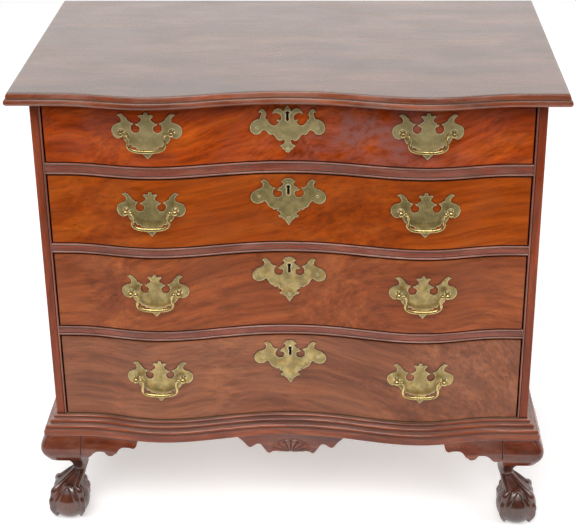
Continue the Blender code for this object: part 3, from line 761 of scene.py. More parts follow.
@dataclass(frozen=True)
class Wood(Finish):
    """Polished or bare wood, from its colours, figure and wear, with painted light laid over them."""

    deep: Colour
    body: Colour
    light: Colour
    haze: Colour = (0.30, 0.16, 0.13)
    haze_amount: float = 0.3
    rubbed: Colour = (0.45, 0.20, 0.11)
    rubbed_amount: float = 0.5
    dust_and_shade: Colour = (0.11, 0.085, 0.075)
    dust_and_shade_amount: float = 0.5
    dust_and_shade_reach: float = 0.010
    grain: Grain = Grain.ACROSS
    shift: Point3 = (0.0, 0.0, 0.0)
    sway: float = 0.05
    slope: float = 0.0
    bow: float = 0.0
    bow_at: float = 0.0
    width: float = 28.0
    streaks: float = 0.30
    flecks: float = 0.25
    pores: float = 0.35
    specks: float = 0.6
    roughness: float = 0.30
    gloss: float = 0.25
    bloom: Point3 = (0.0, 0.0, 0.0)
    bloom_reach: float = 0.0
    texture: float = 0.05
    edge_reach: float = 0.0014
    pit_depth: float = 0.0004
    dark_share: float = 0.45

    def hazed(self, nodes: Nodes, place: Socket, wood: Sockets) -> Socket:
        """Mask of the cloudy polish with painted sheen in it, thicker about a given spot where a reflection
        is painted.

        Args:
            nodes: Nodes of the material.
            place: Place on the piece.
            wood: The wood's figure.

        Returns:
            The mask.
        """
        haze = nodes.spread(wood["Blotch"], 0.44, 0.64, (0.0, self.haze_amount))
        if not self.bloom_reach:
            return haze
        apart = nodes.add("ShaderNodeVectorMath", {0: place, 1: self.bloom}, operation="DISTANCE")
        near = nodes.spread(apart.outputs["Value"], self.bloom_reach, 0.0)
        cloud = nodes.math("MULTIPLY", near, nodes.spread(wood["Blotch"], 0.38, 0.62))
        cloud = nodes.math("MULTIPLY", cloud, nodes.spread(wood["Streaks"], 0.40, 0.58, (0.35, 1.0)))
        return nodes.math("MAXIMUM", haze, nodes.spread(cloud, 0.0, 0.6, (0.0, 0.9)))

    def lay(self, nodes: Nodes, shader: bpy.types.Node) -> None:
        """Lay figure, streaks, cloudy polish with painted sheen, pores, wear with painted highlights, and
        grime with painted shade over each other.

        Args:
            nodes: Nodes of the material.
            shader: Its Principled shader.
        """
        place = nodes.add("ShaderNodeTexCoord").outputs["Object"]
        turning = {"Vector": place, "Location": self.shift, "Rotation": self.grain.value}
        wood = WOOD_FIGURE.place(
            nodes, Vector=nodes.add("ShaderNodeMapping", turning).outputs[0], Sway=self.sway,
            Slope=self.slope, Bow=self.bow, Bow_At=self.bow_at, Width=self.width)
        dark = tuple(c * self.dark_share for c in self.deep)
        colour = nodes.ramp(wood["Figure"], ((0.32, self.deep), (0.50, self.body), (0.68, self.light)))
        shade = nodes.spread(wood["Streaks"], 0.34, 0.66, (1 - self.streaks, 1 + self.streaks))
        colour = nodes.glaze(nodes.scaled(colour, shade), wood["Flecks"], self.flecks, dark)
        # Pale cloudy colour: partly a real cloud in the polish, partly painted sheen.
        colour = nodes.blend(self.hazed(nodes, place, wood), colour, (*self.haze, 1.0))
        pit = nodes.spread(wood["Pores"], 0.60, 0.70, (0.0, self.pores))
        pit = nodes.math("MAXIMUM", pit, nodes.math("MULTIPLY", wood["Specks"], self.specks))
        colour = nodes.blend(pit, colour, (*dark, 1.0))
        # Paler colour along the arrises: real wear, and a painted highlight along them.
        edge = EDGE_WEAR_AND_HIGHLIGHT.place(nodes, Reach=self.edge_reach)["Edge"]
        colour = nodes.glaze(colour, edge, self.rubbed_amount, self.rubbed)
        # Grime colour in corners and gaps; where it is dark, it is painted shade.
        dust_and_shade = DUST_AND_SHADE_MASK.place(nodes, Reach=self.dust_and_shade_reach)["Dust"]
        colour = nodes.glaze(colour, dust_and_shade, self.dust_and_shade_amount, self.dust_and_shade)
        worn = nodes.spread(wood["Blotch"], 0.35, 0.70, (self.roughness - 0.04, self.roughness + 0.08))
        height = nodes.math("SUBTRACT", nodes.math("MULTIPLY", wood["Streaks"], 0.35), pit)
        grain = {"Strength": self.texture, "Distance": self.pit_depth, "Height": height}
        bump = nodes.add("ShaderNodeBump", grain).outputs[0]
        gloss = {"Roughness": worn, "Specular IOR Level": self.gloss}
        nodes.feed(shader, {"Base Color": colour, "Normal": bump, **gloss})


@dataclass(frozen=True)
class Metal(Finish):
    """Brass or iron, from its clean, tarnished and stained colours."""

    clean: Colour
    tarnish: Colour
    stain: Colour
    tarnish_amount: float = 0.7
    stain_amount: float = 0.4
    metal_wear_and_highlight: Colour = (0.98, 0.90, 0.58)
    metal_wear_and_highlight_amount: float = 0.9
    metallic: float = 0.7
    roughness: float = 0.36
    dust_and_shade_amount: float = 0.6
    dust_and_shade_reach: float = 0.004
    dust_shade: float = 0.25
    edge_reach: float = 0.0030
    hammering: float = 0.18
    hammer_depth: float = 0.0004
    spot_shift: Point3 = (3.1, 1.7, 0.4)
    slot: Slot = field(default=Slot.BRASS, kw_only=True)

    def lay(self, nodes: Nodes, shader: bpy.types.Node) -> None:
        """Lay tarnish, stains, darker grime in the hollows, and worn edges with a painted highlight over
        the clean metal.

        Args:
            nodes: Nodes of the material.
            shader: Its Principled shader.
        """
        place = nodes.add("ShaderNodeTexCoord").outputs["Object"]
        cloud = nodes.noise(place, 4.0, 0.62, 70.0)
        dulled = nodes.spread(cloud, 0.36, 0.60, (0.0, self.tarnish_amount))
        colour = nodes.blend(dulled, (*self.clean, 1.0), (*self.tarnish, 1.0))
        aside = nodes.add("ShaderNodeMapping", {"Vector": place, "Location": self.spot_shift}).outputs[0]
        spots = nodes.spread(nodes.noise(aside, 3.0, 0.6, 95.0), 0.56, 0.68, (0.0, self.stain_amount))
        colour = nodes.blend(spots, colour, (*self.stain, 1.0))
        dust_and_shade = DUST_AND_SHADE_MASK.place(nodes, Reach=self.dust_and_shade_reach)["Dust"]
        grime = tuple(c * self.dust_shade for c in self.tarnish)
        colour = nodes.glaze(colour, dust_and_shade, self.dust_and_shade_amount, grime)
        # Bright colour on the arrises: wear, and a painted highlight on the bevels.
        edge = EDGE_WEAR_AND_HIGHLIGHT.place(nodes, Reach=self.edge_reach)["Edge"]
        colour = nodes.glaze(colour, edge, self.metal_wear_and_highlight_amount, self.metal_wear_and_highlight)
        worn = nodes.spread(cloud, 0.3, 0.7, (self.roughness - 0.06, self.roughness + 0.12))
        height = nodes.noise(place, 2.0, 0.5, 420.0)
        hammer = {"Strength": self.hammering, "Distance": self.hammer_depth, "Height": height}
        bump = nodes.add("ShaderNodeBump", hammer).outputs[0]
        gloss = {"Roughness": worn, "Metallic": self.metallic}
        nodes.feed(shader, {"Base Color": colour, "Normal": bump, **gloss})


def front_wood(number: int, deep: Colour, body: Colour, light: Colour, **own: object) -> Wood:
    """A drawer front's finish, from its colours and what sets it apart from the others."""
    name = "drawer_%d_mahogany" % number
    # Every front takes the near-black painted gap shade in its corners and round its brass.
    return Wood(name, deep, body, light, dust_and_shade=PAINTED_GAP_SHADE, dust_and_shade_amount=0.7, dust_and_shade_reach=0.005, **own)


# Near-black colour that the corner mask lays into the gaps round drawers and rails and along the brass
# plates: painted shade.
PAINTED_GAP_SHADE = (0.012, 0.007, 0.005)

# Its grey cloudy colour is partly cloudy polish, partly painted sheen on the surface.
TOP_WOOD = Wood(
    "top_mahogany", (0.083, 0.034, 0.019), (0.135, 0.055, 0.031), (0.19, 0.082, 0.046), sway=0.10,
    width=15.0, haze=(0.17, 0.13, 0.11), haze_amount=0.25, rubbed_amount=0.0, dust_and_shade_amount=0.0,
    streaks=0.22, flecks=0.12, roughness=0.25, gloss=0.5, shift=(0.4, 0.2, 0.0))
# The top's edge: near-black colour in its groove is painted shade, and its pale cloudy colour paints sheen
# along the ends.
EDGE_WOOD = Wood(
    "edge_mahogany", (0.15, 0.036, 0.016), (0.25, 0.062, 0.026), (0.35, 0.100, 0.045), sway=0.05,
    width=60.0, haze=(0.30, 0.17, 0.135), haze_amount=0.45, rubbed=(0.55, 0.36, 0.28), rubbed_amount=0.7,
    dust_and_shade=(0.035, 0.014, 0.009), dust_and_shade_amount=0.9, dust_and_shade_reach=0.003, roughness=0.18, gloss=0.6)
# The side takes the near-black painted gap shade in its corners.
SIDE_WOOD = Wood(
    "side_mahogany", (0.16, 0.027, 0.008), (0.24, 0.043, 0.013), (0.32, 0.066, 0.020),
    grain=Grain.UPRIGHT, width=40.0, haze=(0.22, 0.075, 0.045), rubbed=(0.42, 0.19, 0.13),
    rubbed_amount=0.6, dust_and_shade=PAINTED_GAP_SHADE, dust_and_shade_amount=0.9, dust_and_shade_reach=0.006, gloss=0.30)
# The rail takes the painted gap shade in its corners, and its pale arris colour paints highlight lines
# along its beads.
RAIL_WOOD = Wood(
    "rail_mahogany", (0.17, 0.042, 0.024), (0.240, 0.060, 0.035), (0.31, 0.088, 0.052), width=60.0,
    rubbed=(0.56, 0.40, 0.33), rubbed_amount=1.0, dust_and_shade=PAINTED_GAP_SHADE, dust_and_shade_amount=0.9, dust_and_shade_reach=0.005,
    gloss=0.3)
# Paler, glossier copies for the beads: the paler colour is a painted highlight along each bead.
RAIL_BEAD_HIGHLIGHT = replace(
    RAIL_WOOD, name="rail_bead_mahogany", deep=(0.22, 0.085, 0.058), body=(0.30, 0.125, 0.088),
    light=(0.41, 0.20, 0.15), roughness=0.20, gloss=0.5)
STILE_BEAD_HIGHLIGHT = replace(
    SIDE_WOOD, name="stile_bead_mahogany", deep=(0.20, 0.060, 0.038), body=(0.29, 0.095, 0.062),
    light=(0.37, 0.14, 0.095), roughness=0.20, gloss=0.45)
# Its pale arris colour paints highlight lines along the rounds as well as wear.
BASE_WOOD = Wood(
    "base_mahogany", (0.11, 0.017, 0.003), (0.21, 0.034, 0.005), (0.34, 0.068, 0.010), width=60.0,
    haze=(0.24, 0.13, 0.10), haze_amount=0.15, rubbed=(0.46, 0.34, 0.30), rubbed_amount=0.5,
    dust_and_shade=(0.13, 0.085, 0.070), dust_and_shade_amount=0.85, dust_and_shade_reach=0.006, roughness=0.12, gloss=0.5)
# Paler copy for the upward faces of the moulding: settled dust and a painted sheen.
LEDGE_DUST_AND_SHEEN = replace(
    BASE_WOOD, name="ledge_mahogany", deep=(0.17, 0.060, 0.036), body=(0.25, 0.105, 0.070),
    light=(0.34, 0.17, 0.13), gloss=0.7)
BRACKET_WOOD = Wood(
    "bracket_mahogany", (0.080, 0.014, 0.004), (0.135, 0.023, 0.006), (0.22, 0.044, 0.010), width=45.0,
    streaks=0.4, rubbed=(0.30, 0.10, 0.05), rubbed_amount=0.35, dust_and_shade=(0.14, 0.115, 0.105),
    dust_and_shade_amount=0.8, dust_and_shade_reach=0.004, roughness=0.22, gloss=0.65, texture=0.02)
KNEE_WOOD = replace(
    BRACKET_WOOD, name="knee_mahogany", roughness=0.15, gloss=0.55, slot=Slot.FOOT)
# The claws' dark grime colour in the crevices between talons and ball is painted shade.
FOOT_WOOD = Wood(
    "claw_mahogany", (0.050, 0.018, 0.011), (0.085, 0.027, 0.016), (0.130, 0.038, 0.020),
    grain=Grain.UPRIGHT, width=40.0, streaks=0.25, flecks=0.1, rubbed=(0.22, 0.055, 0.022),
    rubbed_amount=0.3, dust_and_shade=(0.060, 0.047, 0.042), dust_and_shade_amount=0.7, dust_and_shade_reach=0.004, roughness=0.20,
    gloss=1.0, haze_amount=0.0, texture=0.0, slot=Slot.FOOT)
FRONT_WOODS = (
    # Drawer 1 takes a pale patch right of its keyhole: a painted reflection.
    front_wood(
        1, (0.21, 0.028, 0.004), (0.36, 0.052, 0.005), (0.49, 0.090, 0.010), sway=0.18, streaks=0.38,
        slope=-0.30, width=22.0, haze=(0.25, 0.105, 0.090), haze_amount=0.2, bloom=(0.13, -0.23, 0.79),
        bloom_reach=0.22, shift=(0.37, 0.0, 0.21), gloss=0.12),
    front_wood(
        2, (0.23, 0.037, 0.003), (0.33, 0.056, 0.004), (0.43, 0.088, 0.008), sway=0.06, slope=-0.20,
        width=30.0, haze=(0.30, 0.074, 0.020), haze_amount=0.35, rubbed=(0.50, 0.36, 0.28),
        rubbed_amount=0.8, shift=(1.3, 0.0, 0.4), gloss=0.11),
    front_wood(
        3, (0.19, 0.041, 0.010), (0.29, 0.067, 0.017), (0.39, 0.102, 0.026), sway=0.16, slope=-0.16,
        width=26.0, haze=(0.26, 0.085, 0.042), haze_amount=0.35, streaks=0.32, flecks=0.35,
        shift=(2.9, 0.0, 0.9), gloss=0.25),
    front_wood(
        4, (0.17, 0.047, 0.018), (0.26, 0.080, 0.032), (0.35, 0.118, 0.048), sway=0.10, bow=1.1,
        bow_at=0.02, width=26.0, haze=(0.245, 0.100, 0.060), haze_amount=0.35, streaks=0.34, flecks=0.35,
        gloss=0.36),
)
DRAWER_PINE = Wood(
    "drawer_pine", (0.37, 0.21, 0.095), (0.49, 0.295, 0.14), (0.58, 0.38, 0.20), grain=Grain.DEPTH,
    width=45.0, haze=(0.38, 0.245, 0.135), haze_amount=0.4, rubbed=(0.60, 0.45, 0.29), rubbed_amount=0.3,
    dust_and_shade=(0.16, 0.11, 0.07), streaks=0.10, pores=0.08, roughness=0.62, texture=0.25, slot=Slot.PINE)
CASE_PINE = Wood(
    "case_pine", (0.28, 0.140, 0.058), (0.38, 0.200, 0.085), (0.47, 0.270, 0.125), width=30.0,
    haze=(0.29, 0.165, 0.085), haze_amount=0.5, rubbed=(0.46, 0.34, 0.22), rubbed_amount=0.2,
    dust_and_shade=(0.10, 0.07, 0.05), streaks=0.12, pores=0.08, roughness=0.68, gloss=0.2, texture=0.25,
    slot=Slot.PINE)
DULL_BRASS = Metal(
    "dull_brass", (0.46, 0.37, 0.17), (0.29, 0.24, 0.105), (0.27, 0.17, 0.06), tarnish_amount=0.85,
    metallic=0.4)
OLD_BRASS = Metal(
    "old_brass", (0.40, 0.31, 0.125), (0.20, 0.165, 0.062), (0.23, 0.14, 0.04), tarnish_amount=0.85,
    metallic=0.6)
BRIGHT_BRASS = Metal(
    "bright_brass", (0.52, 0.39, 0.16), (0.29, 0.22, 0.09), (0.45, 0.21, 0.03), tarnish_amount=0.9,
    stain_amount=0.7)
HANDLE_BRASS = Metal(
    "handle_brass", (0.62, 0.47, 0.19), (0.36, 0.26, 0.09), (0.42, 0.23, 0.06), metallic=0.85,
    roughness=0.22)
DRAWER_BRASS = (DULL_BRASS, OLD_BRASS, BRIGHT_BRASS, BRIGHT_BRASS)
LOCK_IRON = Metal(
    "lock_iron", (0.16, 0.145, 0.13), (0.09, 0.075, 0.065), (0.17, 0.075, 0.035),
    metal_wear_and_highlight=(0.34, 0.32, 0.30), metal_wear_and_highlight_amount=0.5, roughness=0.5, slot=Slot.IRON)


def settle(obj: bpy.types.Object, body: str, finish: Finish, *nodes: str) -> None:
    """Give a piece its finish and its body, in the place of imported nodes.

    Args:
        obj: The piece.
        body: Body that carries it.
        finish: Its finish.
        nodes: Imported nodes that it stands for.
    """
    obj.data.materials.clear()
    obj.data.materials.append(finish.material())
    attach(obj, body)
    if nodes:
        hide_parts(*nodes)
    LOG.info("%s rides on %s", obj.name, body)


def second_finish(
    obj: bpy.types.Object, finish: Finish, chosen: Callable[[bpy.types.MeshPolygon], bool]
) -> None:
    """Give some faces of a settled piece another finish.

    Args:
        obj: The piece.
        finish: The other finish.
        chosen: Tells whether a face takes it.
    """
    obj.data.materials.append(finish.material())
    for face in obj.data.polygons:
        face.material_index = int(chosen(face))


def dress(node: str, finish: Finish) -> None:
    """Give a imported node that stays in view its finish.

    Args:
        node: Name of the node.
        finish: Its finish.
    """
    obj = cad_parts[node]
    obj.data.materials.clear()
    obj.data.materials.append(finish.material())
    LOG.info("%s keeps its packed shape", node)


# Case


@dataclass
class TopBoard:
    """The moulded top."""

    front_overhang: float = 0.041
    side_overhang: float = 0.034
    back_overhang: float = 0.008
    thickness: float = 0.022
    corner: float = 0.0018
    inset: float = 0.0078
    shoulder_out: float = 0.0042
    shoulder_drop: float = 0.0086
    groove: float = 0.0011
    bead_inset: float = 0.0032
    nose_drop: float = 0.0162
    nose_return: float = 0.0050
    flat: float = 0.004
    surface_lean: float = 0.7

    def edge_line(self) -> list[Point2]:
        """The edge from the surface down: a round shoulder, a groove, a bead and its return.

        Returns:
            (inset, drop) points.
        """
        line = [(self.inset + self.flat, 0.0)]
        for sine, cosine in quarter(6):
            line.append((self.inset - self.shoulder_out * sine, self.shoulder_drop * (1 - cosine)))
        edge = self.inset - self.shoulder_out
        line.append((edge + self.groove, self.shoulder_drop + 0.6 * self.groove))
        line.append((edge + 0.8 * self.groove, self.shoulder_drop + 1.2 * self.groove))
        rise = self.nose_drop - self.shoulder_drop - 1.6 * self.groove
        for sine, cosine in quarter(5):
            line.append((self.bead_inset * (1 - sine), self.nose_drop - rise * cosine))
        fall = self.thickness - self.nose_drop
        for sine, cosine in quarter(5)[1:]:
            line.append((self.nose_return * (1 - cosine), self.nose_drop + fall * sine))
        return line + [(self.nose_return + self.flat, self.thickness)]

    def outline(self, inset: float) -> list[Point2]:
        """Plan of the board at one height.

        Args:
            inset: Distance inside its widest line.

        Returns:
            Points from the back left corner round the front to the back right one.
        """
        half = PLAN.half + self.side_overhang - inset
        near = PLAN.front_y - self.front_overhang + inset
        back = PLAN.back_y + self.back_overhang
        left = arc((-half + self.corner, near + self.corner), self.corner, 180, 270, 4)
        right = arc((half - self.corner, near + self.corner), self.corner, 270, 360, 4)
        front = [(x, near + OXBOW.depth(x)) for x in OXBOW.stations(OXBOW.end + 0.01)]
        return [(-half, back)] + left + front + right + [(half, back)]

    def build(self) -> None:
        """Make the board, with the mortise for the top drawer's bolt."""
        sections = []
        for inset, drop in self.edge_line():
            sections.append([(x, y, PLAN.surface - drop) for x, y in self.outline(inset)])
        board = carved(skinned("top_board", sections), [Lock(1).mortise()])
        settle(board, "case", TOP_WOOD, "top")
        second_finish(board, EDGE_WOOD, lambda face: face.normal.z < self.surface_lean)


@dataclass
class CaseSide:
    """A case side, whose front edge shows as a beaded stile."""

    hand: str
    sign: int
    arris: float = 0.0012
    quirk: float = 0.0011

    def plan_line(self, beaded: bool) -> list[Point2]:
        """Plan of the side.

        Args:
            beaded: Whether the bead stands out at this height.

        Returns:
            Points round the side from its outer front edge.
        """
        y = PLAN.front_y
        r = self.arris
        q = self.quirk
        bead_out = PLAN.inner_half + BEAD_WIDTH
        line = [(PLAN.half, y + 4 * r)] + arc((PLAN.half - r, y + r), r, 0, -90, 4)
        line += [(PLAN.half - 4 * r, y), (bead_out + 2.4 * q, y), (bead_out + q, y + 0.2 * q)]
        line.append((bead_out + 0.3 * q, y + q))
        bead = bead_line(BEAD_PROUD if beaded else 0.0)
        line += [(PLAN.inner_half + along, y - proud) for along, proud in reversed(bead)]
        line += [(PLAN.inner_half, y + 2 * r), (PLAN.inner_half, PLAN.back_y), (PLAN.half, PLAN.back_y)]
        return [(self.sign * x, v) for x, v in line]

    def build(self) -> None:
        """Make the side."""
        node = "side_" + self.hand
        low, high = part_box(node)
        seam = PLAN.base_top + SEAM
        levels = ((low.z, False), (seam, False), (seam, True), (high.z, True))
        sections = [[(x, y, z) for x, y in self.plan_line(beaded)] for z, beaded in levels]
        side = skinned("case_" + node, sections)
        settle(side, "case", SIDE_WOOD, node)
        # The stile's bead takes the paler copy: a painted highlight.
        second_finish(side, STILE_BEAD_HIGHLIGHT, on_bead)


@dataclass
class Rail:
    """A drawer divider, beaded on both edges, with its runners."""

    number: int
    depth: float = 0.062
    quirk: float = 0.0011
    runner_width: float = 0.030
    runner_height: float = 0.0145
    runner_arris: float = 0.0008
    lip: float = 0.004

    def profile(self, low: float, high: float) -> list[Point2]:
        """The rail's cross-section.

        Args:
            low: Its underside.
            high: Its upper side.

        Returns:
            (depth behind the front line, height) points round the section.
        """
        q = self.quirk
        edge = [(-proud, along) for along, proud in bead_line()]
        edge += [(q, BEAD_WIDTH + 0.3 * q), (0.0, BEAD_WIDTH + q), (0.0, BEAD_WIDTH + 2.4 * q)]
        lower = [(self.depth, low), (self.lip, low)] + [(depth, low + rise) for depth, rise in edge]
        upper = [(depth, high - rise) for depth, rise in reversed(edge)]
        return lower + upper + [(self.lip, high), (self.depth, high)]

    def build(self) -> None:
        """Make the rail, with the mortise for the bolt of the drawer under it."""
        node = "divider_%d" % self.number
        low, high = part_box(node)
        sections = []
        rear = PLAN.front_y + self.depth
        for x in OXBOW.stations(high.x):
            section = []
            for depth, z in self.profile(low.z, high.z):
                section.append((x, rear if depth == self.depth else PLAN.front(x) + depth, z))
            sections.append(section)
        rail = carved(skinned("rail_%d" % self.number, sections), [Lock(self.number + 1).mortise()])
        settle(rail, "case", RAIL_WOOD, node)
        # The rail's beads take the paler copy: a painted highlight.
        second_finish(rail, RAIL_BEAD_HIGHLIGHT, on_bead)
        bm = bmesh.new()
        for _, sign in HANDS:
            near = (sign * high.x, rear, high.z - self.runner_height)
            block(bm, near, (sign * (high.x + SEAM - self.runner_width), high.y, high.z))
        edges = bm.edges[:]
        bmesh.ops.bevel(bm, geom=edges, offset=self.runner_arris, segments=2, affect="EDGES", profile=0.5)
        settle(mesh_object("runners_%d" % self.number, bm), "case", CASE_PINE, node)


@dataclass
class BaseMoulding:
    """The moulded frame that the case stands on."""

    frame_width: float = 0.035
    frame_height: float = 0.016
    side_share: float = 0.843
    ledge_lean: float = 0.9
    runs: Runs = (
        ((0.0006, 0.0328), (0.0040, 0.0327), (0.0060, 0.0316), (0.0064, 0.0302), (0.0058, 0.0290)),
        ((0.0055, 0.0276), (0.0080, 0.0268)),
        ((0.0116, 0.0260), (0.0136, 0.0240), (0.0136, 0.0224), (0.0128, 0.0214)),
        ((0.0125, 0.0202), (0.0154, 0.0196)),
        ((0.0200, 0.0188), (0.0226, 0.0166), (0.0226, 0.0148), (0.0216, 0.0138)),
        ((0.0214, 0.0126), (0.0244, 0.0119)),
        ((0.0255, 0.0106),),
        ((0.0255, 0.0000),),
    )

    def section(self) -> list[Point2]:
        """The moulding's cross-section.

        Returns:
            (proud, height) points.
        """
        line = flowing(self.runs, steps=3)
        line += [(-self.frame_width, 0.0), (-self.frame_width, self.frame_height)]
        line.append((SEAM, self.frame_height))
        return [(proud, PLAN.foot_top + rise) for proud, rise in line]

    def end(self, section: Sequence[Point2], sign: int, y: float | None = None) -> list[Point3]:
        """The section at a place along a side, or at the mitred front corner where y is None."""
        line = [(sign * (PLAN.half + proud * self.side_share), proud, z) for proud, z in section]
        return [(x, PLAN.front_y - proud if y is None else y, z) for x, proud, z in line]

    def build(self) -> None:
        """Make the moulding along the front and both sides, mitred at the corners."""
        section = self.section()
        rings = [self.end(section, -1, PLAN.back_y), self.end(section, -1)]
        for x in OXBOW.stations(OXBOW.end + 0.01):
            rings.append([(x, PLAN.front(x, p), z) for p, z in section])
        rings += [self.end(section, 1), self.end(section, 1, PLAN.back_y)]
        base = skinned("base_mould", rings, sharp=28.0)
        settle(base, "case", BASE_WOOD, "base_molding")
        # Upward faces take the paler copy: dust and a painted sheen.
        second_finish(base, LEDGE_DUST_AND_SHEEN, lambda face: face.normal.z > self.ledge_lean)


# Feet


@dataclass
class Knee:
    """The cushion-shaped line that knees and brackets share."""

    depth: float = 0.0585
    proud: float = 0.0225
    bulge: float = 0.0140
    inner: float = 0.0425
    side_inset: float = 0.004

    def reach(self, z: float) -> float:
        """How far the knee stands out of its corner at a height."""
        share = min(max((PLAN.foot_top - z) / self.depth, 0.0), 1.0)
        return self.proud + self.bulge * math.sin(math.pi * share)

    def corner(self) -> float:
        """Distance of the knees' corners from the middle of the chest."""
        return PLAN.half - self.side_inset


@dataclass
class ClawFoot:
    """A claw-and-ball foot with its ankle and knee."""

    knee: Knee = field(default_factory=Knee)
    ball_radius: float = 0.0380
    ball_height: float = 0.0345
    ball_inset: float = 0.0065
    rear_inset: float = 0.030
    web: float = 0.0028
    web_root: float = 0.004
    web_crown: float = 63.0
    web_fall: float = 35.0
    web_top: float = 80.0
    web_spread: float = 22.0
    web_end: float = 36.0
    web_power: float = 1.8
    web_points: int = 96
    knee_rings: int = 14
    knee_square: float = 24.0
    corner_square: float = 4.6
    ring_points: int = 64
    ankle_ring: int = 9
    palm_height: float = 0.0790
    palm_radius: float = 0.0054
    tendon: float = 0.0038
    tendon_line: Sequence[Point2] = ((0.022, 0.0022), (0.011, 0.0034), (0.0, 0.0046))
    voxel: float = 0.0011
    turns: Sequence[float] = (45, 135, 225, 315)
    leg_line: Sequence[tuple[float, float, float, float]] = (
        (0.1342, 0.0425, 0.0250, 18.0), (0.1320, 0.0425, 0.0190, 10.0), (0.1295, 0.0425, 0.0105, 6.0),
        (0.1265, 0.0425, 0.0050, 4.6), (0.1210, 0.0425, 0.0010, 3.6), (0.1140, 0.0425, -0.0030, 3.0),
        (0.1070, 0.0425, -0.0075, 2.7), (0.1000, 0.0422, -0.0110, 2.5), (0.0940, 0.0406, -0.0122, 2.4),
        (0.0880, 0.0384, -0.0112, 2.3), (0.0820, 0.0366, -0.0056, 2.2), (0.0760, 0.0352, 0.0040, 2.1),
        (0.0700, 0.0338, 0.0140, 2.0), (0.0640, 0.0325, 0.0225, 2.0),
    )
    talon_line: Sequence[Point3] = (
        (0.0250, 0.0705, 0.0058), (0.0330, 0.0640, 0.0078), (0.0368, 0.0545, 0.0060),
        (0.0400, 0.0445, 0.0070), (0.0408, 0.0360, 0.0056), (0.0403, 0.0280, 0.0057),
        (0.0382, 0.0205, 0.0046), (0.0350, 0.0135, 0.0034), (0.0312, 0.0070, 0.0020),
    )

    def leg_rings(self) -> list[tuple[float, float, float, float]]:
        """Rings of knee, ankle and palm.

        Returns:
            (height, inner reach, outer reach, squareness) of each ring, from the top down.
        """
        top = PLAN.foot_top - SEAM
        drop = self.leg_line[0][0] - top
        heights = [top + drop * i / self.knee_rings for i in range(self.knee_rings)]
        knee = [(z, self.knee.inner, self.knee.reach(z), self.knee_square) for z in heights]
        return knee + flowing([self.leg_line], 4)

    def ring(self, z: float, inner: float, outer: float, square: float) -> list[Point3]:
        """Points of one ring about the foot's corner, with outward as +u and +v.

        Args:
            z: Height of the ring.
            inner: Its reach towards the case.
            outer: Its reach outward.
            square: How square it is; 2 is round.

        Returns:
            The ring's points.
        """
        middle = (outer - inner) / 2
        half = (outer + inner) / 2
        points = []
        for i in range(self.ring_points):
            a = 2 * math.pi * i / self.ring_points
            power = min(square, self.corner_square) if i <= self.ring_points // 4 else square
            c = abs(math.cos(a)) ** power
            s = abs(math.sin(a)) ** power
            radius = half / (c + s) ** (1 / power)
            points.append((middle + radius * math.cos(a), middle + radius * math.sin(a), z))
        return points

    def talon(self, turn: float) -> bpy.types.Mesh:
        """One talon, from the ankle over its knuckles to its nail.

        Args:
            turn: Direction of the talon in plan, in degrees.

        Returns:
            The talon's mesh.
        """
        way = Vector((math.cos(math.radians(turn)), math.sin(math.radians(turn)), 0.0))
        ball = Vector((-self.ball_inset, 0.0, 0.0))
        z, inner, outer, _ = self.leg_line[self.ankle_ring]
        middle = (outer - inner) / 2
        ankle = Vector((middle, middle, 0.0)) + way * ((outer + inner) / 2 - self.tendon)
        first = ball + way * self.talon_line[0][0]
        line = [(ankle + Vector((0.0, 0.0, z + rise)), radius) for rise, radius in self.tendon_line]
        palm = ankle * 0.5 + first * 0.5 + Vector((0.0, 0.0, self.palm_height))
        line.append((palm, self.palm_radius))
        for reach, height, radius in self.talon_line:
            line.append((ball + way * reach + Vector((0.0, 0.0, height)), radius))
        path = flowing([[tuple(point) for point, _ in line]], 5)
        return tube_mesh("talon", path, flowing_values([radius for _, radius in line], 5), detail=4)

    def web_rings(self) -> list[list[Point3]]:
        """Rings of the web over the ball, which ends in an arch between the talons.

        Returns:
            The rings, from the one inside the ball up.
        """
        rings = []
        for share, out in [(0.0, -self.web_root)] + [(step / 4, self.web) for step in range(5)]:
            r = self.ball_radius + out
            ring = []
            for i in range(self.web_points):
                a = 2 * math.pi * i / self.web_points
                off = min(abs((math.degrees(a) + 45) % 90 - 45), self.web_end)
                low = self.web_crown - self.web_fall * (off / self.web_spread) ** self.web_power
                e = math.radians(low + (self.web_top - low) * share)
                x = r * math.cos(e) * math.cos(a) - self.ball_inset
                ring.append((x, r * math.cos(e) * math.sin(a), self.ball_height + r * math.sin(e)))
            rings.append(ring)
        return rings

    def pattern(self) -> bpy.types.Mesh:
        """Make the foot about its own corner, fused into one smooth skin.

        Returns:
            The mesh that all four feet are made from.
        """
        bm = bmesh.new()
        skin(bm, [self.ring(*ring) for ring in self.leg_rings()])
        skin(bm, self.web_rings())
        place = Matrix.Translation((-self.ball_inset, 0.0, self.ball_height))
        bmesh.ops.create_uvsphere(bm, u_segments=64, v_segments=40, radius=self.ball_radius, matrix=place)
        for turn in self.turns:
            take_in(bm, self.talon(turn))
        foot = mesh_object("foot_pattern", bm)
        fuse = foot.modifiers.new("fuse", "REMESH")
        fuse.mode = "VOXEL"
        fuse.voxel_size = self.voxel
        soften = foot.modifiers.new("soften", "SMOOTH")
        soften.factor = 0.5
        soften.iterations = 2
        return baked_mesh(foot)

    def build(self) -> None:
        """Make the four feet from one pattern."""
        pattern = self.pattern()
        ends = (("front", -1, PLAN.front_y), ("rear", 1, PLAN.back_y - self.rear_inset))
        for end, face, corner in ends:
            for hand, sign in HANDS:
                bm = bmesh.new()
                bm.from_mesh(pattern)
                for vertex in bm.verts:
                    u, v, z = vertex.co
                    z = min(max(z, 0.0), PLAN.foot_top - SEAM)
                    vertex.co = (sign * (self.knee.corner() + u), corner + face * v, z)
                node = "foot_%s_%s" % (end, hand)
                foot = mesh_object("claw_" + node, bm, sharp=180.0)
                settle(foot, "case", FOOT_WOOD, node)
                second_finish(foot, KNEE_WOOD, lambda part: part.center.z > self.leg_line[1][0])
        bpy.data.meshes.remove(pattern)


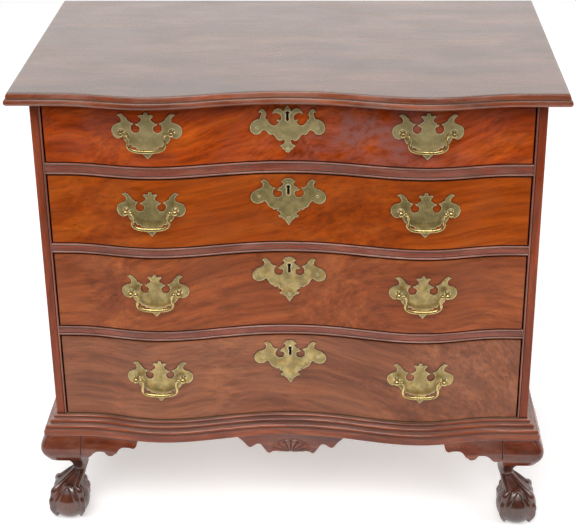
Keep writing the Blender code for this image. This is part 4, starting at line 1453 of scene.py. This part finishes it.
@dataclass
class KneeBracket:
    """A bracket beside a knee, with a scrolled lower edge."""

    knee: Knee = field(default_factory=Knee)
    length: float = 0.1073
    drop: float = 0.0420
    back: float = 0.001
    lines: int = 14
    edge: Runs = (
        ((0.000, 0.985), (0.060, 0.997), (0.120, 1.000)),
        ((0.160, 0.908), (0.200, 0.777), (0.250, 0.669), (0.310, 0.623), (0.405, 0.615)),
        ((0.425, 0.685), (0.465, 0.785), (0.510, 0.808), (0.555, 0.777), (0.582, 0.690)),
        ((0.600, 0.660), (0.618, 0.650)),
        ((0.640, 0.560), (0.672, 0.440), (0.735, 0.342), (0.850, 0.315), (0.925, 0.331), (0.972, 0.246),
         (1.000, 0.046)),
    )

    def section(self, low: float) -> list[Point2]:
        """The bracket's cross-section as (proud, height) points.

        Args:
            low: Height of its lower edge.

        Returns:
            Points from its top down its face and up its back.
        """
        top = PLAN.foot_top - SEAM
        heights = [top + (low - top) * i / self.lines for i in range(self.lines + 1)]
        return [(self.knee.reach(z), z) for z in heights] + [(self.back, low), (self.back, top)]

    def build_one(self, name: str, node: str, sign: int, start: float, step: int) -> None:
        """Make one bracket.

        Args:
            name: Name of the piece.
            node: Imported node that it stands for.
            sign: Side of the case.
            start: Its seam at the knee, along x at the front or along y at the side.
            step: 0 along the front, or the way it runs along y.
        """
        rings = []
        for along, share in flowing(self.edge, steps=3):
            section = self.section(PLAN.foot_top - self.drop * share)
            reach = self.length * along
            if step == 0:
                x = sign * (start - reach)
                rings.append([(x, PLAN.front(x, proud), z) for proud, z in section])
            else:
                y = start + step * reach
                rings.append([(sign * (self.knee.corner() + proud), y, z) for proud, z in section])
        settle(skinned(name, rings, sharp=40.0), "case", BRACKET_WOOD, node)

    def build(self, rear_inset: float) -> None:
        """Make the six brackets.

        Args:
            rear_inset: Distance of the rear feet's corners from the case back.
        """
        seam = self.knee.inner + SEAM
        places = (
            ("front", self.knee.corner() - seam, 0),
            ("side", PLAN.front_y + seam, 1),
            ("rear", PLAN.back_y - rear_inset - seam, -1),
        )
        for hand, sign in HANDS:
            for place, start, step in places:
                node = "bracket_%s_%s" % (place, hand)
                self.build_one("knee_" + node, node, sign, start, step)


@dataclass
class ShellPendant:
    """The carved drop under the middle of the base moulding."""

    width: float = 0.197
    drop: float = 0.040
    setback: float = 0.0015
    thickness: float = 0.019
    fascia_proud: float = 0.0255
    fan_half: float = 0.0375
    fan_height: float = 0.0270
    lobes: int = 8
    lobe_proud: float = 0.0014
    groove: float = 0.0030
    fan_foot: float = 0.96
    fan_reach: float = 1.12
    fan_under: float = 0.12
    lobe_round: float = 0.55
    hub: Point2 = (0.06, 0.32)
    tips: Point2 = (0.90, 1.0)
    rim_rise: Point2 = (0.92, 1.0)
    rim_fall: Point2 = (1.0, 1.1)
    rim_share: float = 0.5
    trim: float = 0.992
    columns: int = 260
    rows: int = 44
    edge: Runs = (
        ((1.000, 0.000), (0.883, 0.312), (0.812, 0.562), (0.756, 0.620), (0.700, 0.555),
         (0.650, 0.475)),
        ((0.574, 0.500), (0.497, 0.775), (0.437, 0.975), (0.381, 1.000), (0.284, 0.875)),
        ((0.203, 0.938), (0.127, 1.000), (0.061, 0.962), (0.000, 0.925)),
    )

    def depth_of_edge(self, x: float, line: Sequence[Point2]) -> float:
        """Drop of the lower edge at a place.

        Args:
            x: Place along the front.
            line: The edge as shares of half width and drop, from the end inward.

        Returns:
            The drop below the moulding.
        """
        share = abs(x) / (self.width / 2)
        for (a, low), (b, high) in zip(line, line[1:]):
            if b <= share <= a:
                t = (a - share) / (a - b) if a > b else 0.0
                return self.drop * (low + (high - low) * t)
        return self.drop * line[-1][1]

    def relief(self, x: float, fall: float) -> float:
        """How far the carving stands out of the pendant's face.

        Args:
            x: Place along the front.
            fall: Distance below the moulding.

        Returns:
            The relief, negative in the grooves.
        """
        u = x / self.fan_half
        v = (self.drop * self.fan_foot - fall) / self.fan_height
        radius = math.hypot(u, v)
        if radius > self.fan_reach or v < -self.fan_under:
            return 0.0
        ray = math.atan2(max(v, 0.0), u) / math.pi * self.lobes
        lobe = abs(math.sin(math.pi * ray)) ** self.lobe_round
        inside = smooth_share(*self.hub, radius) * (1 - smooth_share(*self.tips, radius))
        rim = smooth_share(*self.rim_rise, radius) * (1 - smooth_share(*self.rim_fall, radius))
        carving = inside * (self.lobe_proud * lobe - self.groove * (1 - lobe))
        return carving - rim * self.groove * self.rim_share

    def build(self) -> None:
        """Make the pendant as a carved grid with a flat back."""
        line = flowing(self.edge, steps=5)
        top = PLAN.foot_top - SEAM
        bm = bmesh.new()
        sheets: list[list[list[bmesh.types.BMVert]]] = [[], []]
        half = self.width / 2 * self.trim
        for i in range(self.columns + 1):
            x = -half + 2 * half * i / self.columns
            reach = self.depth_of_edge(x, line)
            face, rear = [], []
            for j in range(self.rows + 1):
                fall = reach * j / self.rows
                y = PLAN.front(x, self.fascia_proud - self.setback)
                face.append(bm.verts.new((x, y - self.relief(x, fall), top - fall)))
                rear.append(bm.verts.new((x, y + self.thickness, top - fall)))
            sheets[0].append(face)
            sheets[1].append(rear)
        for sheet in sheets:
            for near, far in zip(sheet, sheet[1:]):
                for j in range(self.rows):
                    bm.faces.new((near[j], near[j + 1], far[j + 1], far[j]))
        face, rear = sheets
        for i in range(self.columns):
            for j in (0, self.rows):
                bm.faces.new((face[i][j], face[i + 1][j], rear[i + 1][j], rear[i][j]))
        for i in (0, self.columns):
            for j in range(self.rows):
                bm.faces.new((face[i][j], face[i][j + 1], rear[i][j + 1], rear[i][j]))
        settle(mesh_object("shell_carving", bm, sharp=45.0), "case", BRACKET_WOOD, "shell_pendant")


# Drawers


@dataclass
class Lock:
    """A drawer lock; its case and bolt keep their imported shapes."""

    number: int
    travel: float = 0.009
    spare: float = 0.0015
    key_drops: Sequence[float] = (0.0246, 0.0240, 0.0246, 0.0272)
    key_radius: float = 0.0034
    key_slot: float = 0.0056
    key_length: float = 0.019

    def mortise(self) -> bpy.types.Object:
        """Make the cutter for the hole that the bolt enters above its drawer.

        Returns:
            The cutter.
        """
        low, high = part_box("lock_bolt_%d" % self.number)
        spare = Vector((self.spare, self.spare, 0.0))
        above = Vector((0.0, 0.0, self.travel + self.spare))
        return block_object("mortise_%d" % self.number, tuple(low - spare), tuple(high + spare + above))

    def keyhole(self) -> list[Point2]:
        """Outline of the keyhole: a round head over a flared slot.

        Returns:
            (x, z) points round it.
        """
        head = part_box("drawer_%d_front" % self.number)[1].z - self.key_drops[self.number - 1]
        slot = self.key_slot / 2
        low = head + self.key_radius - self.key_length
        line = arc((0.0, head), self.key_radius, -50, 230, 20)
        return line + [(-slot, low + slot), (0.0, low), (slot, low + slot)]

    def dress(self) -> None:
        """Finish the lock and its bolt."""
        dress("lock_%d" % self.number, LOCK_IRON)
        dress("lock_bolt_%d" % self.number, LOCK_IRON)


@dataclass
class DrawerFront:
    """A drawer front shaped to the oxbow."""

    number: int
    arris: float = 0.0013
    arris_turns: Sequence[float] = (0.0, 0.52, 1.05, math.pi / 2)
    flat_from: float = 2.2
    side_thickness: float = 0.012
    play: float = 0.0015
    clear: float = 0.02
    lap_drop: float = 0.05
    bed_rise: float = 0.01
    key_depth: float = 0.08

    def profile(self, low: float, high: float, setback: float) -> list[Point2]:
        """Front part of the cross-section.

        Args:
            low: Lower edge.
            high: Upper edge.
            setback: How far the face lies back, at the rounded ends.

        Returns:
            (depth behind the front line, height) points from the lower edge up.
        """
        r = self.arris
        edge = [(r * 4, 0.0)]
        edge += [(r * (1 - math.sin(a)), r * (1 - math.cos(a))) for a in self.arris_turns]
        edge.append((0.0, self.flat_from * r))
        lower = [(setback + depth, low + rise) for depth, rise in edge]
        return lower + [(setback + depth, high - rise) for depth, rise in reversed(edge)]

    def cutters(self) -> list[bpy.types.Object]:
        """Make cutters for the laps of the sides, the bottom's groove, the lock's bed and the keyhole.

        Returns:
            The cutters.
        """
        box_low, box_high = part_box("drawer_%d_box" % self.number)
        board_low, board_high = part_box("drawer_%d_bottom" % self.number)
        lock_low, lock_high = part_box("lock_%d" % self.number)
        inner = box_high.x - self.side_thickness
        past = lock_high.y + self.clear
        made = []
        for hand, sign in HANDS:
            near = (sign * (inner - SEAM), box_low.y - SEAM, board_low.z - self.lap_drop)
            far = (sign * (box_high.x + self.clear), past, box_high.z + SEAM)
            made.append(block_object("lap_" + hand, near, far))
        groove = (-inner, board_low.y - SEAM, board_low.z - SEAM)
        made.append(block_object("groove", groove, (inner, past, board_high.z + SEAM)))
        bed = tuple(lock_low - Vector((SEAM, SEAM, SEAM)))
        made.append(block_object("lock_bed", bed, (lock_high.x + SEAM, past, lock_high.z + self.bed_rise)))
        keyhole = sheet_object("keyhole", [Lock(self.number).keyhole()], self.key_depth, 0.0)
        keyhole.location.y = lock_low.y
        return made + [keyhole]

    def build(self) -> None:
        """Make the front and cut it for the pieces that join it."""
        node = "drawer_%d_front" % self.number
        low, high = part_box(node)
        r = self.arris
        half = high.x
        upper = high.z - self.play
        stations = [(x, 0.0) for x in OXBOW.stations(half - self.flat_from * r)]
        for a in self.arris_turns:
            place, setback = half - r + r * math.sin(a), r * (1 - math.cos(a))
            stations = [(-place, setback)] + stations + [(place, setback)]
        rings = []
        for x, setback in stations:
            ring = [(x, PLAN.front(x) + depth, z) for depth, z in self.profile(low.z, upper, setback)]
            rings.append(ring + [(x, high.y, upper), (x, high.y, low.z)])
        front = carved(skinned("drawer_%d_face" % self.number, rings), self.cutters())
        settle(front, "drawer_%d" % self.number, FRONT_WOODS[self.number - 1], node)


@dataclass
class BrassSheet:
    """Cut sheet brass: outlines of the plates, in millimetres, for their right halves."""

    thickness: float = 0.0021
    bevel: float = 0.0007
    plate: Runs = (
        ((0.0, 0.0), (2.6, -1.2), (3.4, -5.6)),
        ((6.4, -5.0), (10.2, -4.6), (12.2, -7.0)),
        ((9.6, -9.2), (7.4, -12.8)),
        ((10.4, -16.8), (13.6, -18.2)),
        ((14.0, -20.2), (18.0, -20.8)),
        ((16.6, -23.4), (13.4, -24.2)),
        ((11.2, -27.4), (11.8, -32.0), (15.4, -36.2), (20.0, -36.8), (24.4, -34.0), (26.4, -29.0),
         (25.4, -24.0), (21.8, -20.4)),
        ((24.2, -18.6), (26.6, -19.0)),
        ((28.4, -16.4), (31.6, -15.4)),
        ((32.4, -12.2), (35.4, -8.6), (39.6, -4.6), (44.6, -3.4), (48.8, -6.4)),
        ((44.4, -9.0), (42.4, -13.2), (42.8, -17.8), (46.4, -20.6), (52.0, -22.8), (57.6, -27.4),
         (59.8, -35.0), (57.2, -43.2), (51.0, -47.8), (44.8, -47.0), (40.6, -44.6)),
        ((38.8, -50.0), (35.0, -55.4), (30.8, -58.4)),
        ((27.4, -58.2), (25.6, -62.4)),
        ((20.4, -62.6), (17.4, -66.4)),
        ((13.6, -66.2), (9.4, -68.4)),
        ((11.6, -72.6),),
        ((6.4, -77.2), (0.0, -84.0)),
    )
    willow: Runs = (
        ((0.0, 0.0), (4.6, -0.6), (8.4, -2.4), (11.7, -6.7)),
        ((9.2, -8.0), (7.8, -10.4)),
        ((11.6, -14.8), (15.2, -16.4)),
        ((15.6, -18.6), (19.0, -20.2)),
        ((16.4, -22.6), (12.2, -23.2)),
        ((10.4, -27.2), (12.4, -32.4), (16.6, -34.8), (21.2, -34.0), (25.0, -30.6), (26.2, -26.0),
         (25.0, -21.4), (21.8, -18.2)),
        ((24.4, -16.2), (27.4, -16.4)),
        ((28.6, -14.2), (31.2, -13.2)),
        ((32.6, -8.0), (37.0, -3.6), (41.8, -2.2), (45.8, -5.0)),
        ((43.2, -8.2), (42.4, -12.0), (43.8, -15.6), (48.7, -18.8), (56.0, -21.6), (61.8, -27.6),
         (63.2, -35.2), (59.4, -42.2), (52.6, -45.4), (45.2, -43.8), (40.3, -40.2)),
        ((37.0, -43.6), (34.0, -49.6), (29.8, -53.6)),
        ((27.4, -54.0), (25.8, -57.0)),
        ((21.6, -57.2), (17.6, -55.4)),
        ((19.6, -60.0),),
        ((15.6, -61.4), (12.4, -64.8)),
        ((14.4, -66.8), (17.2, -68.2)),
        ((14.8, -71.6), (11.2, -71.4)),
        ((9.6, -74.2), (6.2, -75.6)),
        ((4.2, -80.0), (0.0, -86.4)),
    )
    horned: Runs = (
        ((0.0, 4.6), (3.4, -0.2), (7.4, -6.6)),
        ((9.6, -3.0), (14.4, -0.2), (19.0, -1.2), (23.2, -4.4), (25.6, -10.4)),
        ((22.0, -8.4), (16.6, -8.6), (12.0, -12.0), (10.4, -17.0), (11.2, -21.2)),
        ((14.6, -21.4), (18.2, -20.6)),
        ((17.2, -23.4), (14.4, -25.2)),
        ((18.8, -29.8), (24.0, -31.2), (29.0, -28.6), (32.2, -24.6), (33.4, -20.4)),
        ((36.2, -20.2),),
        ((37.4, -16.0), (35.4, -10.0)),
        ((38.0, -4.2), (42.2, -1.2), (46.0, -2.6), (48.6, -7.0)),
        ((45.4, -6.6), (43.8, -9.2), (45.4, -13.6), (47.0, -19.0)),
        ((53.0, -20.0), (60.0, -24.6), (63.6, -32.4), (62.0, -41.0), (55.8, -46.2), (48.4, -45.6),
         (43.2, -40.6), (39.8, -38.6)),
        ((36.0, -40.6), (33.4, -44.8), (30.0, -47.6)),
        ((25.4, -47.0), (22.0, -50.2), (18.4, -55.6), (14.2, -58.8)),
        ((10.6, -58.4), (6.4, -56.4)),
        ((5.0, -59.6), (6.8, -64.0), (13.0, -68.0)),
        ((9.4, -71.4),),
        ((8.0, -74.2), (5.0, -75.0)),
        ((3.4, -78.4), (0.0, -80.4)),
    )

    def outline(self, runs: Runs, node: str, centre: float) -> list[Point2]:
        """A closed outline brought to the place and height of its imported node.

        Args:
            runs: Right half of the outline.
            node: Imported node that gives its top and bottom.
            centre: Its middle along the front.

        Returns:
            Points round the whole outline.
        """
        low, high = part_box(node)
        half = flowing(runs, 3)
        top = max(z for x, z in half)
        unit = (high.z - low.z) / (top - min(z for x, z in half))
        right = [(x * unit, high.z + (z - top) * unit) for x, z in half]
        left = [(-x, z) for x, z in reversed(right) if x > SAME_POINT]
        return [(centre + x, z) for x, z in right + left]

    def cut(self, name: str, outlines: Runs) -> bmesh.types.BMesh:
        """Cut a plate and bend it to the front line.

        Args:
            name: Name of the piece.
            outlines: Its outline and any holes.

        Returns:
            The plate as a mesh in the making.
        """
        plate = sheet_object(name, outlines, self.thickness, self.bevel)
        for vertex in plate.data.vertices:
            vertex.co.y += PLAN.front_y - SEAM - self.thickness / 2
        bend_to_front(plate)
        bm = bmesh.new()
        bm.from_mesh(plate.data)
        bpy.data.objects.remove(plate)
        return bm


@dataclass
class Pull:
    """A pull: its plate with two posts, and the bail that swings in them."""

    number: int
    hand: str
    sign: int
    sheet: BrassSheet = field(default_factory=BrassSheet)
    spacing: float = 0.085
    post_drop: float = 0.035
    ball: float = 0.0056
    neck: float = 0.0030
    rod: float = 0.0040
    pin_depth: float = 0.0036
    bow: Sequence[Point3] = (
        (0.0362, 0.0000, 0.0020), (0.0354, 0.0000, 0.0035), (0.0340, 0.0002, 0.0040),
        (0.0324, 0.0008, 0.0035), (0.0312, 0.0024, 0.0029), (0.0300, 0.0050, 0.0026),
        (0.0296, 0.0088, 0.0025), (0.0306, 0.0132, 0.0026), (0.0316, 0.0178, 0.0027),
        (0.0309, 0.0225, 0.0028), (0.0284, 0.0262, 0.0029), (0.0234, 0.0290, 0.0031),
        (0.0150, 0.0310, 0.0033), (0.0000, 0.0318, 0.0035),
    )
    eye_spare: float = 0.0006
    eye_depth: float = 0.7
    collar: Sequence[Point2] = ((0.0, -0.0006), (0.0052, -0.0006), (0.0052, 0.0008), (0.0042, 0.0016))
    neck_foot: float = 0.0026
    ball_seat: float = 0.85
    ball_turns: Point2 = (-58.0, 148.0)
    post_lift: float = 0.0002

    def axis(self) -> tuple[float, float]:
        """Depth and height of the line that the bail turns about."""
        low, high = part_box(self.node())
        return low.y + self.ball, high.z - self.post_drop

    def node(self) -> str:
        """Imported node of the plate."""
        return "pull_plate_%d_%s" % (self.number, self.hand)

    def finish(self) -> Metal:
        """Brass of this drawer's plates."""
        return DRAWER_BRASS[self.number - 1]

    def post(self, side: int) -> bpy.types.Object:
        """A turned post with its ball, bored for the bail's pin.

        Args:
            side: Which of the plate's two posts.

        Returns:
            The post.
        """
        y, z = self.axis()
        x = self.sign * OXBOW.apex + side * self.spacing / 2
        foot = PLAN.front(x) - SEAM - self.sheet.thickness
        reach = foot - y
        seat = reach - self.ball * self.ball_seat
        profile = [*self.collar, (self.neck, self.neck_foot), (self.neck, seat)]
        start, sweep = self.ball_turns
        for i in range(1, 12):
            a = math.radians(start + sweep * i / 12)
            profile.append((self.ball * math.cos(a), reach + self.ball * math.sin(a)))
        profile.append((0.0, reach + self.ball))
        bm = bmesh.new()
        lathe(bm, profile, (x, foot, z))
        post = mesh_object("post", bm)
        eye = self.rod / 2 + self.eye_spare
        place = Matrix.Translation((x - side * self.ball, y, z)) @ Matrix.Rotation(math.pi / 2, 4, "Y")
        deep = 2 * (self.ball * self.eye_depth + SEAM)
        bm = bmesh.new()
        bmesh.ops.create_cone(
            bm, cap_ends=True, segments=20, radius1=eye, radius2=eye, depth=deep, matrix=place)
        return carved(post, [mesh_object("eye", bm)])

    def build_plate(self) -> None:
        """Make the plate with its posts."""
        name = "plate_%d_%s" % (self.number, self.hand)
        outline = self.sheet.outline(self.sheet.plate, self.node(), self.sign * OXBOW.apex)
        bm = self.sheet.cut(name, [outline])
        for side in (-1, 1):
            take_in(bm, baked_mesh(self.post(side)))
        pull = mesh_object(name, bm, sharp=30.0)
        settle(pull, "drawer_%d" % self.number, self.finish(), self.node())
        out = SEAM + self.sheet.thickness + self.post_lift
        second_finish(pull, HANDLE_BRASS, lambda face: face.center.y < PLAN.front(face.center.x, out))

    def build_bail(self) -> None:
        """Make the bail as a tube with a thicker grip."""
        y, z = self.axis()
        centre = self.sign * OXBOW.apex
        pin = self.spacing / 2 - self.ball + self.pin_depth
        half = [(pin, 0.0, self.rod / 2), *self.bow]
        line = [(-x, -fall, radius) for x, fall, radius in half]
        line += [(x, -fall, radius) for x, fall, radius in reversed(half[:-1])]
        path = [(centre + u, y, z + v) for u, v in flowing([[point[:2] for point in line]], 4)]
        radii = flowing_values([radius for _, _, radius in line], 4)
        name = "bail_handle_%d_%s" % (self.number, self.hand)
        bm = bmesh.new()
        take_in(bm, tube_mesh(name, path, radii, detail=4))
        body = "bail_%d_%s" % (self.number, self.hand)
        settle(mesh_object(name, bm, sharp=50.0), body, HANDLE_BRASS, body)


@dataclass
class Escutcheon:
    """A keyhole plate with a rim round its keyhole and nails in its ears and tip."""

    number: int
    sheet: BrassSheet = field(default_factory=BrassSheet)
    rim: float = 0.0007
    rim_spread: Point2 = (1.16, 1.06)
    nail: float = 0.0021
    nail_sink: float = 0.0005
    nail_edge: float = 0.0001
    nail_dome: Sequence[Point2] = ((0.85, 0.22), (0.5, 0.36), (0.0, 0.42))
    horned_nails: Sequence[Point2] = ((0.0515, 0.0385), (-0.0515, 0.0385), (0.0, 0.0775))
    willow_nails: Sequence[Point2] = ((0.0500, 0.0330), (-0.0500, 0.0330), (0.0, 0.0745))

    def build(self) -> None:
        """Make the plate, its keyhole rim and its nails."""
        node = "escutcheon_%d" % self.number
        runs = self.sheet.horned if self.number == 1 else self.sheet.willow
        nails = self.horned_nails if self.number == 1 else self.willow_nails
        keyhole = Lock(self.number).keyhole()
        name = "keyhole_plate_%d" % self.number
        bm = self.sheet.cut(name, [self.sheet.outline(runs, node, 0.0), keyhole])
        out = SEAM + self.sheet.thickness
        wide, tall = self.rim_spread
        middle = (min(z for x, z in keyhole) + max(z for x, z in keyhole)) / 2
        path = []
        for x, z in keyhole + keyhole[:2]:
            path.append((x * wide, PLAN.front(x, out), middle + (z - middle) * tall))
        take_in(bm, tube_mesh("rim", path, [self.rim] * len(path), detail=2))
        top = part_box(node)[1].z
        r = self.nail
        dome = [(0.0, -self.nail_sink), (r, -self.nail_sink), (r, self.nail_edge)]
        dome += [(r * out_share, r * up_share) for out_share, up_share in self.nail_dome]
        for x, fall in nails:
            lathe(bm, dome, (x, PLAN.front(x, out), top - fall), sides=16)
        plate = mesh_object(name, bm, sharp=30.0)
        settle(plate, "drawer_%d" % self.number, DRAWER_BRASS[self.number - 1], node)


@dataclass
class Drawer:
    """A whole drawer: front, box, lock and brass."""

    number: int

    def build(self) -> None:
        """Make and dress the drawer's pieces."""
        DrawerFront(self.number).build()
        dress("drawer_%d_box" % self.number, DRAWER_PINE)
        dress("drawer_%d_bottom" % self.number, DRAWER_PINE)
        Lock(self.number).dress()
        Escutcheon(self.number).build()
        for hand, sign in HANDS:
            pull = Pull(self.number, hand, sign)
            pull.build_plate()
            pull.build_bail()


# Studio


@dataclass
class Studio:
    """White paper floor, soft lights and the camera."""

    frame_width: int = 576
    focal_pixels: float = 1440.5
    sensor: float = 36.0
    eye: Point3 = (0.0936, -2.4978, 1.6638)
    right: Point3 = (0.99927, 0.03651, -0.01090)
    up: Point3 = (-0.00558, 0.42310, 0.90607)
    forward: Point3 = (-0.03769, 0.90535, -0.42300)
    shift_y: float = -0.0564
    world_light: float = 0.42
    paper_glow: float = 0.42
    paper_grey: float = 0.88
    paper_reach: float = 9.0
    cloth_grey: float = 0.05
    matt: float = 0.9
    cloths: Sequence[tuple[str, Point3, Point3]] = (
        ("floor_cloth", (-4.0, -4.4, 0.0005), (4.0, -1.35, 0.0005)),
        ("front_cloth", (-5.0, -4.4, 0.0), (5.0, -4.4, 4.6)),
        ("left_cloth", (-4.0, -4.4, 0.0), (-4.0, -0.6, 3.4)),
        ("right_cloth", (4.0, -4.4, 0.0), (4.0, -0.6, 3.4)),
    )
    lamps: Sequence[tuple[str, Point3, Point3, Point2, float]] = (
        ("key", (-0.7, -2.9, 3.1), (0.0, 0.0, 0.4), (3.4, 2.2), 130.0),
        ("fill", (2.8, -1.8, 2.2), (0.0, 0.0, 0.4), (2.0, 2.0), 40.0),
        ("sky", (0.0, 2.6, 2.4), (0.0, 0.0, 0.85), (4.5, 2.6), 30.0),
        ("strip", (-0.2, -0.9, 3.2), (0.0, -0.2, 0.4), (2.2, 0.8), 50.0),
    )
    never_mirrored: Sequence[str] = ("key", "fill")
    only_mirrored: Sequence[str] = ("strip",)

    def camera(self) -> None:
        """Place the camera where the photograph was taken from."""
        lens = bpy.data.cameras.new("camera")
        lens.sensor_width = self.sensor
        lens.lens = self.focal_pixels / self.frame_width * self.sensor
        lens.shift_y = self.shift_y
        obj = new_object("camera", lens)
        axes = (Vector(self.right), Vector(self.up), -Vector(self.forward))
        turn = Matrix([axis.normalized() for axis in axes]).transposed().to_4x4()
        obj.matrix_world = Matrix.Translation(self.eye) @ turn
        bpy.context.scene.camera = obj

    def seen_directly(self, nodes: Nodes) -> Socket:
        """Tell what the camera or a mirror sees from what only gives light.

        Args:
            nodes: Nodes of the material or world.

        Returns:
            One for the camera and for what shines or is clear, else zero.
        """
        path = nodes.add("ShaderNodeLightPath")
        seen = nodes.math("MAXIMUM", path.outputs["Is Camera Ray"], path.outputs["Is Glossy Ray"])
        return nodes.math("MAXIMUM", seen, path.outputs["Is Transmission Ray"])

    def world(self) -> None:
        """White all round, dimmer as a light than as a background."""
        world = bpy.data.worlds.new("studio")
        world.use_nodes = True
        bpy.context.scene.world = world
        nodes = Nodes(world.node_tree)
        back = world.node_tree.nodes["Background"]
        strength = nodes.spread(self.seen_directly(nodes), 0.0, 1.0, (self.world_light, 1.0))
        nodes.feed(back, {"Color": (1.0, 1.0, 1.0, 1.0), "Strength": strength})

    def matt_material(self, name: str, grey: float) -> tuple[bpy.types.Material, Nodes, bpy.types.Node]:
        """A matt grey material.

        Args:
            name: Name of the material.
            grey: Its shade.

        Returns:
            The material, its nodes and its Principled shader.
        """
        made, nodes, shader = blank_material(name)
        colour = (grey, grey, grey, 1.0)
        nodes.feed(shader, {"Base Color": colour, "Roughness": self.matt, "Specular IOR Level": 0.0})
        return made, nodes, shader

    def sheet(self, name: str, low: Point3, high: Point3, material: bpy.types.Material) -> bpy.types.Object:
        """Spread a flat sheet, square to the axes, as part of the stage.

        Args:
            name: Name of the sheet.
            low: One corner.
            high: The opposite corner.
            material: Its material.

        Returns:
            The sheet.
        """
        across, along = [axis for axis in range(3) if low[axis] != high[axis]]
        corners = []
        for first, second in ((low, low), (high, low), (high, high), (low, high)):
            corner = list(low)
            corner[across], corner[along] = first[across], second[along]
            corners.append(corner)
        bm = bmesh.new()
        bm.faces.new([bm.verts.new(corner) for corner in corners])
        obj = mesh_object(name, bm)
        obj.data.materials.append(material)
        return obj

    def floor(self) -> None:
        """White paper under the chest and all round it."""
        made, nodes, shader = self.matt_material("white_paper", self.paper_grey)
        glow = nodes.math("MULTIPLY", self.seen_directly(nodes), self.paper_glow)
        nodes.feed(shader, {"Emission Color": (1.0, 1.0, 1.0, 1.0), "Emission Strength": glow})
        reach = self.paper_reach
        self.sheet("paper", (-reach, -reach, 0.0), (reach, reach, 0.0), made)

    def flags(self) -> None:
        """Dark cloths before the chest and behind the camera, which polish and brass mirror."""
        made = self.matt_material("dark_cloth", self.cloth_grey)[0]
        for name, low, high in self.cloths:
            cloth = self.sheet(name, low, high, made)
            cloth.visible_camera = False
            cloth.visible_shadow = name != "floor_cloth"

    def lamp(self, name: str, place: Point3, aim: Point3, size: Point2, power: float) -> bpy.types.Object:
        """Hang one soft box.

        Args:
            name: Name of the lamp.
            place: Its middle.
            aim: Point that it faces.
            size: Its width and height.
            power: Its power in watts.

        Returns:
            The lamp.
        """
        light = bpy.data.lights.new(name, "AREA")
        light.shape = "RECTANGLE"
        light.size, light.size_y = size
        light.energy = power
        obj = new_object(name, light)
        obj.location = place
        obj.rotation_euler = (Vector(aim) - Vector(place)).to_track_quat("-Z", "Y").to_euler()
        obj.visible_camera = False
        return obj

    def build(self) -> None:
        """Set the view, the world, the floor and the lamps."""
        bpy.context.scene.view_settings.view_transform = "Standard"
        self.camera()
        self.world()
        self.floor()
        self.flags()
        for name, place, aim, size, power in self.lamps:
            lamp = self.lamp(name, place, aim, size, power)
            lamp.visible_glossy = name not in self.never_mirrored
            lamp.visible_diffuse = name not in self.only_mirrored


def main() -> None:
    """Build the chest piece by piece, then the studio."""
    logging.basicConfig(level=logging.INFO, format="%(message)s")
    TopBoard().build()
    for hand, sign in HANDS:
        CaseSide(hand, sign).build()
    dress("case_bottom", CASE_PINE)
    dress("back_panel", CASE_PINE)
    for number in DRAWERS[:-1]:
        Rail(number).build()
    BaseMoulding().build()
    foot = ClawFoot()
    foot.build()
    KneeBracket().build(foot.rear_inset)
    ShellPendant().build()
    for number in DRAWERS:
        Drawer(number).build()
    Studio().build()


if __name__ == "__main__":
    main()
